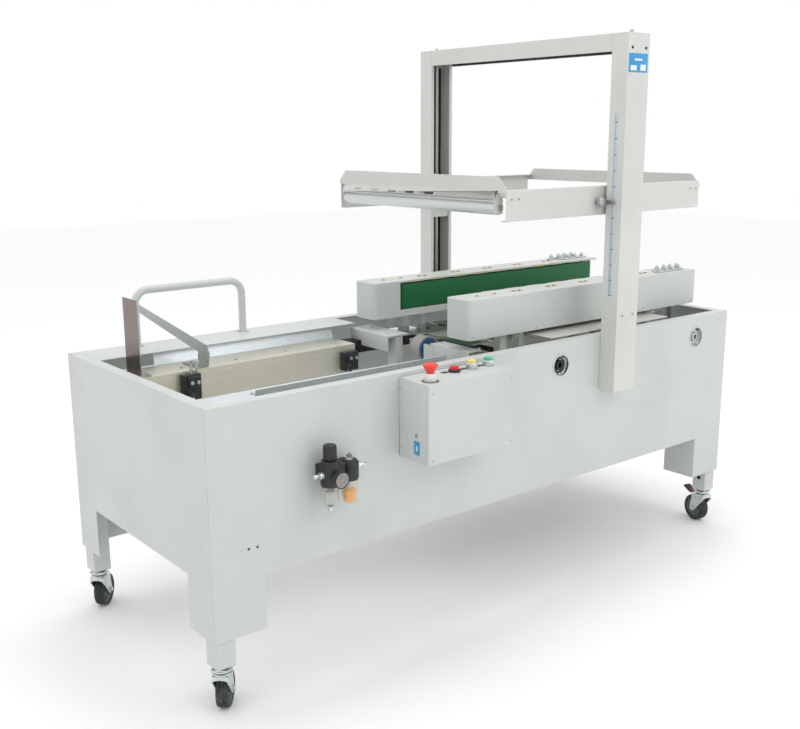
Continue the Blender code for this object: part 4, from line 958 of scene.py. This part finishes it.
tableKit = {
    "edge": 0.0006, "shortest": 0.004, "skin": 0.004, "front": 0.105, "bar": (-0.26, -0.075, 0.012, 0.006)
}
sillKit = {
    "near": (-0.093, -0.29, -0.105), "far": (-0.128, 0.075, 0.29), "inset": 0.014, "sheet": 0.0022,
    "drop": 0.05,
}
sillKit |= {"screwLines": (0.025, 0.07), "screws": (0.15, 0.85)}
form = copyForm("table", tableKit["edge"], tableKit["shortest"])
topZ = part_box("table")[1].z
for face in form.faces:
    face.material_index = int(face.calc_center_median().z <= topZ - tableKit["skin"])
addPiece("tableTop", form, [tableSteel, white], "cabinet", ["table"], flats=True)
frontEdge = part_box("table")[0].x + tableKit["front"]
start, end, drop, rise = tableKit["bar"]
corner, far = (frontEdge - 0.013, midY + start, topZ - drop), (frontEdge - 0.001, midY + end, topZ + rise)
addPiece("edgeStrip", boxForm(corner, far, 0.002), blackRubber, "cabinet")
for name in ("near", "far"):
    x0, y0, y1 = sillKit[name]
    x1, sheet = frontEdge - sillKit["inset"], sillKit["sheet"]
    plate = boxForm((x0, midY + y0, topZ + 0.0002), (x1, midY + y1, topZ + 0.0002 + sheet), 0.0008)
    fold = boxForm((x0, midY + y0, topZ - sillKit["drop"]), (x0 + sheet, midY + y1, topZ + 0.002), 0.0008)
    addPiece("sillPlate_" + name, joined(plate, fold), white, "cabinet")
    spots = []
    for dx in sillKit["screwLines"]:
        for share in sillKit["screws"]:
            spots.append(((x0 + dx, midY + y0 + (y1 - y0) * share, topZ + 0.0002 + sheet), up))
    screwPieces("sillScrews_" + name, spots, "cabinet", radius=0.0055)

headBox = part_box("tape_head_frame")
form = copyForm("tape_head_frame", tableKit["edge"], tableKit["shortest"])
addPiece("headFrame", form, stainless, "cabinet", ["tape_head_frame"], flats=True)
reel = Vector(joints["tape_roll_spin"]["pos_m"])
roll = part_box("tape_roll")
reelKit = {"core": 0.0375, "bore": 0.0092, "dish": 0.006, "spokes": 5, "gap": 0.0025, "sheet": 0.0025}
reelKit |= {
    "bracketHalf": 0.010, "bracketShift": 0.003, "bracketTop": 0.014, "beamTop": 0.635, "foot": (0.04, 0.02)
}
rollRadius = (roll[1].x - roll[0].x) / 2
half = (roll[1].y - roll[0].y) / 2
core, bore = reelKit["core"], reelKit["bore"]
spot = Vector((reel.x, (roll[0].y + roll[1].y) / 2, reel.z))
tape = [(core + 0.001, half - 0.001), (rollRadius - 0.0006, half - 0.001), (rollRadius, half - 0.0016)]
tape += [(radius, -height) for radius, height in reversed(tape)] + tape[:1]
wound = turnedTo(spunForm(tape, 0, 96), spot, (0, 1, 0))
addPiece("woundTape", wound, woundFinish("woundTape", spot), "tape_roll", ["tape_roll"])
sunk = half - reelKit["dish"]
dish = [(bore, half), (0.016, half), (0.018, sunk), (core - 0.006, sunk)]
dish += [(core - 0.004, half), (core, half)]
dish += [(radius, -height) for radius, height in reversed(dish)] + dish[:1]
forms = [turnedTo(spunForm(dish, 0.0006, 72), spot, (0, 1, 0))]
for spoke in range(reelKit["spokes"]):
    bar = boxForm((0.0165, -0.002, sunk - 0.001), (core - 0.0045, 0.002, half - 0.001), 0.0006)
    turn = Matrix.Rotation(spoke * 2 * math.pi / reelKit["spokes"], 4, "Z")
    forms.append(turnedTo(moved(bar, turn), spot, out))
addPiece("tapeCore", joined(*forms), coreBlue, "tape_roll")
face = roll[0].y - reelKit["gap"]
centre = reel.x - reelKit["bracketShift"]
x0, x1 = centre - reelKit["bracketHalf"], centre + reelKit["bracketHalf"]
beamTop, front = reelKit["beamTop"], face - reelKit["sheet"]
plate = boxForm((x0, front, beamTop), (x1, face, reel.z + reelKit["bracketTop"]), 0.0008)
wide, deep = reelKit["foot"]
foot = boxForm((x0 - wide, front, beamTop + 0.0002), (x1, face + deep, beamTop + 0.0027), 0.0006)
addPiece("reelBracket", joined(plate, foot), white, "cabinet")
boltPieces("reelNut", [((reel.x - 0.002, front, reel.z), out)], "cabinet", finish=blackSteel, across=0.012)

armKit = {"roller": (-0.066, 0.091), "radius": 0.0178, "half": 0.0235, "chamfer": 0.0013, "shortest": 0.004}
armJoint = Vector(joints["tape_arm_swing"]["pos_m"])
arm = copyForm("tape_arm", 0.0005, armKit["shortest"])
addPiece("armPlates", arm, zinc, "tape_arm", ["tape_arm"])
rollerCentre = (armJoint.x + armKit["roller"][0], armJoint.y, armJoint.z + armKit["roller"][1])
half, radius, chamfer = armKit["half"], armKit["radius"], armKit["chamfer"]
sleeve = [(0, half), (radius - chamfer, half), (radius, half - 0.0015)]
sleeve += [(reach, -place) for reach, place in reversed(sleeve)]
sleeve = turnedTo(spunForm(sleeve, 0.0004, 48), rollerCentre, (0, 1, 0))
addPiece("armRoller", sleeve, blackRubber, "tape_arm")
headKit = {"inset": 0.03, "along": (0.03, 0.2, 0.4)}
heights = (headBox[0].z + headKit["inset"], topZ - headKit["inset"])
spots = [((headBox[1].x - dx, headBox[0].y, z), out) for dx in headKit["along"] for z in heights]
boltPieces("headBolts", spots, "cabinet", across=0.009)
print("table made")


guideKit = {"edge": 0.0005, "shortest": 0.004, "below": 0.06, "lip": 0.045, "inset": 0.042, "first": 0.2}
guideKit |= {"pitch": 0.19, "count": 4, "height": 0.793}
for name, side in (("near", -1), ("far", 1)):
    node = "infeed_guide_" + name
    body = "belt_unit_" + name
    form = copyForm(node, guideKit["edge"], guideKit["shortest"])
    # upper guide faces take the bluish steel as a painted reflection; lower faces keep the plain stainless
    for face in form.faces:
        level = face.calc_center_median().z - (topZ - guideKit["below"])
        upright = abs(face.normal.z) < 0.4
        face.material_index = int(level > 0 and (side < 0 or (upright and level > guideKit["lip"])))
    addPiece("sheet_" + node, form, [stainless, paintedReflectionSteel], body, [node], flats=True)
    low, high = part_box(node)
    line = high.y - guideKit["inset"] if side < 0 else low.y + guideKit["inset"]
    spots = []
    for index in range(guideKit["count"]):
        x = low.x + guideKit["first"] + index * guideKit["pitch"]
        spots.append(((x, line, guideKit["height"]), up))
    boltPieces("guideBolts_" + name, spots, body, across=0.009)
low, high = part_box("loading_stop")
form = copyForm("loading_stop", 0.0006, 0.003)
# the end faces at the low-X end take the darker steel: painted shade
for face in form.faces:
    face.material_index = int(abs(face.normal.x) > 0.8 and face.calc_center_median().x < low.x + 0.01)
addPiece(
    "stopPlate", form, [stopSteel, paintedShadeStainless], "belt_unit_far", ["loading_stop"],
    flats=True,
)
floorZ = low.z + 0.0025
stopKit = {"inset": 0.02, "left": (0.03, 0.075), "right": (0.03, 0.08)}
spots = [((low.x + stopKit["inset"], low.y + dy, floorZ), up) for dy in stopKit["left"]]
spots += [((high.x - stopKit["inset"], low.y + dy, floorZ), up) for dy in stopKit["right"]]
boltPieces("stopBolts", spots, "belt_unit_far", across=0.009)
studs = []
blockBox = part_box("clamp_block_left")
for dx in (-0.03, -0.010):
    shaft = [(0, 0.030), (0.0030, 0.0295), (0.0034, 0.028), (0.0034, 0), (0, 0)]
    place = (blockBox[1].x + dx, (blockBox[0].y + blockBox[1].y) / 2, blockBox[1].z)
    studs.append(turnedTo(spunForm(shaft, 0, 20), place))
    studs.append(turnedTo(hexForm(0.0115, 0.005), (place[0], place[1], place[2] + 0.014)))
addPiece("clampStuds", joined(*studs), zinc, "belt_unit_far")

clampKit = {"edge": 0.0035, "boltHeight": 0.68, "bolts": (0.42, 0.78)}
for name in ("left", "right"):
    node = "clamp_block_" + name
    low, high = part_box(node)
    wide, tall = high.x - low.x, high.z - low.z
    front = low.y + 0.012
    forms = [boxForm((low.x, low.y + 0.006, low.z), (high.x, high.y, high.z), clampKit["edge"], 3)]
    corner, far = (low.x + 0.012, low.y, low.z + tall * 0.42), (high.x - 0.004, front, high.z - 0.006)
    forms.append(boxForm(corner, far, 0.003, 3))
    corner, far = (low.x + 0.004, low.y + 0.001, low.z + 0.004), (low.x + 0.026, front, low.z + tall * 0.5)
    forms.append(boxForm(corner, far, 0.003))
    addPiece("block_" + node, joined(*forms), blackPlastic, "belt_unit_far", [node])
    height = low.z + tall * clampKit["boltHeight"]
    spots = [((low.x + wide * share, low.y, height), out) for share in clampKit["bolts"]]
    boltPieces("clampBolts_" + name, spots, "belt_unit_far", across=0.007)
knobPiece("clampKnobGrip", "clamp_knob", "clamp_knob_turn", "clamp_knob", blackPlastic, 7, 0.004)
low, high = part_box("clamp_lever")
pivot = Vector(joints["clamp_lever_turn"]["pos_m"])
boss = spunForm([(0, 0.0155), (0.008, 0.0155), (0.0108, 0.013), (0.0108, 0.0004), (0, 0.0004)], 0.0006, 36)
forms = [turnedTo(boss, (pivot.x, high.y, pivot.z), out)]
grip = tubeForm(
    [(pivot.x, low.y + 0.006, pivot.z - 0.004), (pivot.x, low.y + 0.0045, pivot.z - 0.05)], 0.0048, 20
)
forms.append(grip)
addPiece("leverGrip", joined(*forms), blackPlastic, "clamp_lever", ["clamp_lever"])
print("infeed made")


boxKit = {
    "edge": 0.0014, "shortest": 0.02, "lid": 0.828, "inset": 0.014, "sideInset": 0.03,
    "lidScrew": (0.06, 0.045),
}
boxKit |= {"tag": (0.038, 0.063, 0.022, 0.062), "bar": (0.048, 0.0535, 0.034, 0.048), "lock": (0.05, 0.079)}
low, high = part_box("control_box")
lid = boxKit["lid"]
form = copyForm("control_box", boxKit["edge"], boxKit["shortest"])
addPiece("boxShell", form, white, "cabinet", ["control_box"], flats=True)
inset = boxKit["inset"]
heights = (low.z + inset, lid - inset - 0.012)
spots = [((x, low.y, z), out) for x in (low.x + inset, high.x - inset) for z in heights]
heights = (low.z + boxKit["sideInset"], lid - boxKit["sideInset"])
for x, aim in ((low.x, -1), (high.x, 1)):
    spots += [((x, high.y - 0.008, z), (aim, 0, 0)) for z in heights]
dx, dy = boxKit["lidScrew"]
spots.append(((low.x + dx, low.y + dy, lid), up))
screwPieces("boxScrews", spots, "cabinet", radius=0.0034)
forms = []
for tint, key, proud, sunk in ((0, "tag", 0.0006, -0.0002), (1, "bar", 0.0009, 0.0004)):
    y0, y1, z0, z1 = boxKit[key]
    corner, far = (low.x - proud, low.y + y0, low.z + z0), (low.x - sunk, low.y + y1, low.z + z1)
    forms.append(tinted(boxForm(corner, far, 0.0002), tint))
addPiece("boxTag", joined(*forms), [labelBlue, labelWhite], "cabinet")
lockSpot = Vector((low.x, low.y + boxKit["lock"][0], low.z + boxKit["lock"][1]))
barrel = spunForm([(0, 0.0022), (0.0062, 0.0022), (0.0074, 0.0012), (0.0074, 0), (0, 0)], 0.0002, 40)
keySlot = boxForm((-0.0011, -0.0048, 0.0018), (0.0011, 0.0048, 0.0026), 0.0002)
forms = [turnedTo(barrel, lockSpot, (-1, 0, 0)), tinted(turnedTo(keySlot, lockSpot, (-1, 0, 0)), 1)]
addPiece("boxLock", joined(*forms), [zinc, blackPlastic], "cabinet")

pushKit = {"collar": 0.0182, "inner": 0.0168, "plateHalf": 0.007, "plateFrom": 0.040, "plateTo": 0.0175}
pushKit |= {"gap": 0.0009, "skirt": 0.004, "neck": 0.0106, "flare": 0.0178, "stopBore": 0.0114}
lidHeights = {"emergency_stop": 0.022, "stop_button": 0.007, "reset_button": 0.016, "start_button": 0.015}


def collarForm(base, bore, spot):  # the sleeve round a button, over its collar on the lid
    outer, inner = pushKit["collar"], pushKit["inner"]
    profile = [
        (bore, base + 0.0012), (inner - 0.0008, base + 0.0012), (outer - 0.0006, base - 0.001),
        (outer, 0.0004),
    ]
    profile += [(inner, 0.0004), (inner, base + 0.0003), (bore, base + 0.0003), (bore, base + 0.0012)]
    return turnedTo(spunForm(profile, 0.0003, 48), spot)


for node, finish, collar, slot in (
    ("stop_button", buttonRed, blackPlastic, "button_red"),
    ("reset_button", buttonYellow, zinc, "button_yellow"),
    ("start_button", buttonGreen, zinc, "button_green"),
):
    bLow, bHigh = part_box(node)
    radius, tall, base = (bHigh.x - bLow.x) / 2, bHigh.z - lid, lidHeights[node]
    spot = Vector(((bLow.x + bHigh.x) / 2, (bLow.y + bHigh.y) / 2, lid))
    dome = [(0, tall), (radius * 0.6, tall - 0.0005), (radius * 0.9, tall - 0.002), (radius, tall - 0.0045)]
    foot = base - pushKit["skirt"]
    cap = spunForm(dome + [(radius, foot), (0, foot)], 0, 48)
    addPiece("cap_" + node, turnedTo(cap, spot), finish, node, [node])
    addPiece("collar_" + node, collarForm(base, radius + pushKit["gap"], spot), collar, "cabinet")
    corner = (spot.x - pushKit["plateFrom"], spot.y + 0.002, lid + 0.0001)
    edge = (spot.x - pushKit["plateTo"], spot.y + 0.002 + 2 * pushKit["plateHalf"], lid + 0.0013)
    addPiece("legend_" + node, boxForm(corner, edge, 0.0004), blackPlastic, "cabinet")

bLow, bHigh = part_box("emergency_stop")
spot = Vector(((bLow.x + bHigh.x) / 2, (bLow.y + bHigh.y) / 2, lid))
base, tall, radius = lidHeights["emergency_stop"], bHigh.z - lid, (bHigh.x - bLow.x) / 2
head = [(0, tall - 0.0008), (0.009, tall - 0.0006), (0.013, tall), (radius - 0.002, tall - 0.0025)]
foot, neck = base - pushKit["skirt"], pushKit["neck"]
head += [(radius, tall - 0.0065), (radius - 0.0005, tall - 0.009), (pushKit["flare"], tall - 0.0125)]
head += [(0.0152, base + 0.0085), (0.0138, base + 0.0078), (neck, base + 0.0078), (neck, foot), (0, foot)]
mushroom = turnedTo(spunForm(head, 0.0004, 64), spot)
addPiece("stopMushroom", mushroom, stopRed, "emergency_stop", ["emergency_stop"])
addPiece("stopCollar", collarForm(base, pushKit["stopBore"], spot), whitePlastic, "cabinet")
disc = [(0.0184, 0.0012), (0.0245, 0.0012), (0.0248, 0.0002), (0.0184, 0.0002), (0.0184, 0.0012)]
addPiece("stopRing", turnedTo(spunForm(disc, 0.0002, 48), spot), grayPlastic, "cabinet")
print("controls made")


airKit = {"left": -0.763, "right": -0.70, "out": 0.048, "castings": (0.583, 0.588), "bridge": (0.598, 0.642)}
airKit |= {"back": (0.604, 0.636), "dome": 0.6452, "fittings": (0.617, 0.62), "gaugeHeight": 0.612}
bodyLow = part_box("air_unit_body")[0]
line = nearFace - airKit["out"]
left, right = airKit["left"], airKit["right"]
regulator = [
    (0, 0.072), (0.0235, 0.072), (0.0235, 0.062), (0.027, 0.056), (0.027, 0.010), (0.0245, 0), (0, 0)
]
oiler = [(0, 0.057), (0.019, 0.057), (0.0255, 0.049), (0.0255, 0.008), (0.023, 0), (0, 0)]
lower, upper = airKit["bridge"]
backLow, backHigh = airKit["back"]
forms = [
    turnedTo(spunForm(regulator, 0.001, 48), (left, line, airKit["castings"][0])),
    turnedTo(spunForm(oiler, 0.001, 48), (right, line, airKit["castings"][1])),
    boxForm((left - 0.02, line - 0.012, lower), (right + 0.016, line + 0.014, upper), 0.003, 3),
    boxForm((left - 0.016, line + 0.01, backLow), (right + 0.016, nearFace - 0.0005, backHigh), 0.002),
]
addPiece("unitCastings", joined(*forms), blackPlastic, "cabinet", ["air_unit_body"])
dome = [(0, 0.0165), (0.004, 0.016), (0.008, 0.012), (0.009, 0.006), (0.009, 0), (0, 0)]
dome = turnedTo(spunForm(dome, 0, 40), (right, line, airKit["dome"]))
addPiece("sightDome", dome, clearBowl, "cabinet")
forms = []
heights = airKit["fittings"]
for x, aim, z in ((left - 0.022, -1, heights[0]), (right + 0.0225, 1, heights[1])):
    collar = spunForm([(0, 0.006), (0.0098, 0.006), (0.0098, 0), (0, 0)], 0.0006, 32)
    elbow = spunForm([(0, 0.02), (0.0055, 0.02), (0.0062, 0.0185), (0.0062, 0), (0, 0)], 0.0004, 32)
    forms.append(turnedTo(collar, (x, line, z), (aim, 0, 0)))
    forms.append(turnedTo(hexForm(0.0165, 0.007), (x + aim * 0.006, line, z), (aim, 0, 0)))
    forms.append(turnedTo(elbow, (x + aim * 0.0125, line, z), (aim, 0, 0)))
addPiece("airFittings", joined(*forms), zinc, "cabinet")
gauge = {"radius": 0.023, "deep": 0.020, "seat": 0.017, "lip": 0.0025, "stem": 0.006, "ticks": 11, "arcs": 14}
centre = Vector((left, bodyLow.y + gauge["deep"], airKit["gaugeHeight"]))
radius, deep, inner = gauge["radius"], gauge["deep"], gauge["radius"] - gauge["lip"]
case = [(0, gauge["seat"]), (inner, gauge["seat"]), (inner, deep), (radius, deep - 0.0008), (radius, 0.002)]
case += [(radius - 0.002, 0), (gauge["stem"], 0), (gauge["stem"], -deep), (0, -deep)]
addPiece(
    "gaugeCase", turnedTo(spunForm(case, 0.0004, 64), centre, out), blackPlastic, "cabinet"
)
plate = [(0, 0.0004), (inner - 0.0002, 0.0004), (inner - 0.0002, 0), (0, 0)]
dial = [turnedTo(spunForm(plate, 0, 48), (0, 0, 0.0171))]


def dialMark(low, high, degrees, tint):
    return tinted(moved(boxForm(low, high), Matrix.Rotation(math.radians(degrees), 4, "Z")), tint)


for tick in range(gauge["ticks"]):
    dial.append(dialMark((0.0148, -0.0004, 0.0175), (0.0188, 0.0004, 0.0178), -45 + tick * 27, 1))
for part in range(gauge["arcs"]):
    tint = 2 if part > 8 else 3
    dial.append(dialMark((0.0118, -0.0011, 0.0174), (0.0136, 0.0011, 0.0176), -45 + part * 20, tint))
dial.append(dialMark((-0.004, -0.0007, 0.0179), (0.0125, 0.0007, 0.0184), 35, 2))
pivot = spunForm([(0, 0.0012), (0.0022, 0.0012), (0.0024, 0), (0, 0)], 0, 24)
dial.append(tinted(turnedTo(pivot, (0, 0, 0.0176)), 1))
coats = [dialGray, whitePlastic, stopRed, buttonRed]
addPiece("gaugeDial", turnedTo(joined(*dial), centre, out), coats, "cabinet")
lens = [(0, 0.0012), (inner - 0.0003, 0.0004), (inner - 0.0003, 0), (0, 0.0006)]
lens = turnedTo(spunForm(lens, 0, 48), centre + out * 0.0188, out)
addPiece("gaugeLens", lens, clearBowl, "cabinet")

kLow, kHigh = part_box("regulator_knob")
tall = kHigh.z - kLow.z
radius = (kHigh.x - kLow.x) / 2
knob = [(0, tall), (radius - 0.0035, tall), (radius - 0.001, tall - 0.002), (radius - 0.0008, tall - 0.006)]
knob += [(radius, tall - 0.008), (radius, 0.004), (radius - 0.002, 0.0004), (0, 0.0004)]
knob = spunForm(knob, 0.0003, 72)
for vert in knob.verts:
    if Vector((vert.co.x, vert.co.y)).length > radius - 0.0007 and vert.co.z < tall - 0.006:
        share = 1 - 0.035 * (0.5 + 0.5 * math.cos(math.atan2(vert.co.y, vert.co.x) * 18))
        vert.co.x *= share
        vert.co.y *= share
knob = turnedTo(knob, (left, line, kLow.z))
addPiece("knobGrip", knob, blackPlastic, "regulator_knob", ["regulator_knob"])


bowlKit = {"radius": 0.0205, "bend": 0.012, "drain": 0.016, "fill": 0.036}


def bowlForm(radius, tall, wall=0.0022):  # an open bowl hung from its rim
    bend = bowlKit["bend"]
    turns = [step * math.pi / 12 for step in range(7)]
    heart, base = radius - bend, bend - tall
    outer = [(heart + bend * math.cos(turn), base - bend * math.sin(turn)) for turn in turns]
    bend -= wall
    inner = [(heart + bend * math.cos(turn), base - bend * math.sin(turn)) for turn in reversed(turns)]
    walls = [(radius, 0)] + outer + [(0, -tall), (0, -tall + wall)] + inner + [(radius - wall, 0)]
    return spunForm(walls + [(radius, 0)], 0, 56)


radius = bowlKit["radius"]
for node, x in (("filter_bowl", left), ("oil_bowl", right)):
    low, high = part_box(node)
    oily = node == "oil_bowl"
    tall = high.z - low.z - (0 if oily else bowlKit["drain"])
    glass = turnedTo(bowlForm(radius, tall), (x, line, high.z))
    addPiece("glass_" + node, glass, clearBowl, "cabinet", [node])
    if oily:
        fill, inside = bowlKit["fill"], radius - 0.0026
        oil = [(0, fill), (inside, fill), (inside, 0.0105), (inside - 0.004, 0.0032)]
        oil += [(inside - 0.009, 0.0006), (0, 0.0002)]
        pool = turnedTo(spunForm(oil, 0.0002, 48), (x, line, high.z - tall + 0.0026))
        addPiece("oilPool", pool, amberOil, "cabinet")
        tube = spunForm([(0, 0.05), (0.0018, 0.05), (0.0018, 0), (0, 0)], 0, 16)
        addPiece("oilTube", turnedTo(tube, (x, line, high.z - 0.052)), whitePlastic, "cabinet")
    else:
        drain = [(0, bowlKit["drain"]), (0.0085, bowlKit["drain"]), (0.0085, 0.009), (0.0062, 0.008)]
        drain += [(0.0062, 0.004), (0.0035, 0.0005), (0, 0)]
        cock = turnedTo(spunForm(drain, 0.0004, 36), (x, line, low.z))
        addPiece("drainCock", cock, zinc, "cabinet")
        baffle = [(0, 0.010), (0.013, 0.010), (0.0145, 0.007), (0.006, 0.004), (0.005, 0), (0, 0)]
        baffle = turnedTo(spunForm(baffle, 0.0004, 40), (x, line, high.z - 0.022))
        addPiece("filterBaffle", baffle, whitePlastic, "cabinet")
print("air unit made")


stageKit = {"floor": 14.0, "tones": ((0.955, 0.955, 0.957), (0.97, 0.97, 0.972))}
floorForm = bmesh.new()
bmesh.ops.create_grid(floorForm, x_segments=2, y_segments=2, size=stageKit["floor"])
floorMesh = bpy.data.meshes.new("floor")
floorForm.to_mesh(floorMesh)
floorForm.free()
floorFinish = Finish("paleFloor", Roughness=0.7)
floorTone = floorFinish.noise(0.8, 3)
floorFinish.put(Base_Color=floorFinish.blend(floorTone, *stageKit["tones"]))
floorMesh.materials.append(floorFinish.material)
floor = bpy.data.objects.new("floor", floorMesh)
bpy.context.scene.collection.objects.link(floor)

world = bpy.data.worlds.new("studio")
world.use_nodes = True
backdrop = world.node_tree.nodes["Background"]
backdrop.inputs["Color"].default_value = (1.0, 1.0, 1.0, 1)
backdrop.inputs["Strength"].default_value = 1.0
bpy.context.scene.world = world
bpy.context.scene.view_settings.view_transform = "Standard"


def addLight(name, place, aim, size, power, colour=(1, 1, 1)):
    data = bpy.data.lights.new(name, "AREA")
    data.shape = "RECTANGLE"
    data.size, data.size_y = size
    data.energy = power
    data.color = colour
    lamp = bpy.data.objects.new(name, data)
    lamp.location = place
    lamp.rotation_euler = (Vector(aim) - Vector(place)).to_track_quat("-Z", "Y").to_euler()
    bpy.context.scene.collection.objects.link(lamp)


addLight("keySoftbox", (1.2, -3.8, 3.6), (0, 0, 0.8), (2.4, 1.8), 26)
addLight("leftSoftbox", (-4.4, -1.0, 2.4), (-0.6, 0, 0.7), (2.0, 2.0), 2, (0.96, 0.98, 1.0))
addLight("topSoftbox", (0.2, 0.4, 4.6), (0, 0, 0.8), (2.6, 2.0), 40)

cameraKit = {"place": (-2.2365, -2.5555, 1.4959), "yaw": -39.06, "down": 12.81, "roll": -0.25, "lens": 45.89}
cameraData = bpy.data.cameras.new("camera")
cameraData.lens = cameraKit["lens"]
cameraData.sensor_width = 36
camera = bpy.data.objects.new("camera", cameraData)
yaw = Matrix.Rotation(math.radians(cameraKit["yaw"]), 4, "Z")
pitch = Matrix.Rotation(math.radians(90 - cameraKit["down"]), 4, "X")
roll = Matrix.Rotation(math.radians(cameraKit["roll"]), 4, "Z")
camera.matrix_world = Matrix.Translation(cameraKit["place"]) @ yaw @ pitch @ roll
bpy.context.scene.collection.objects.link(camera)
bpy.context.scene.camera = camera
print("stage set")
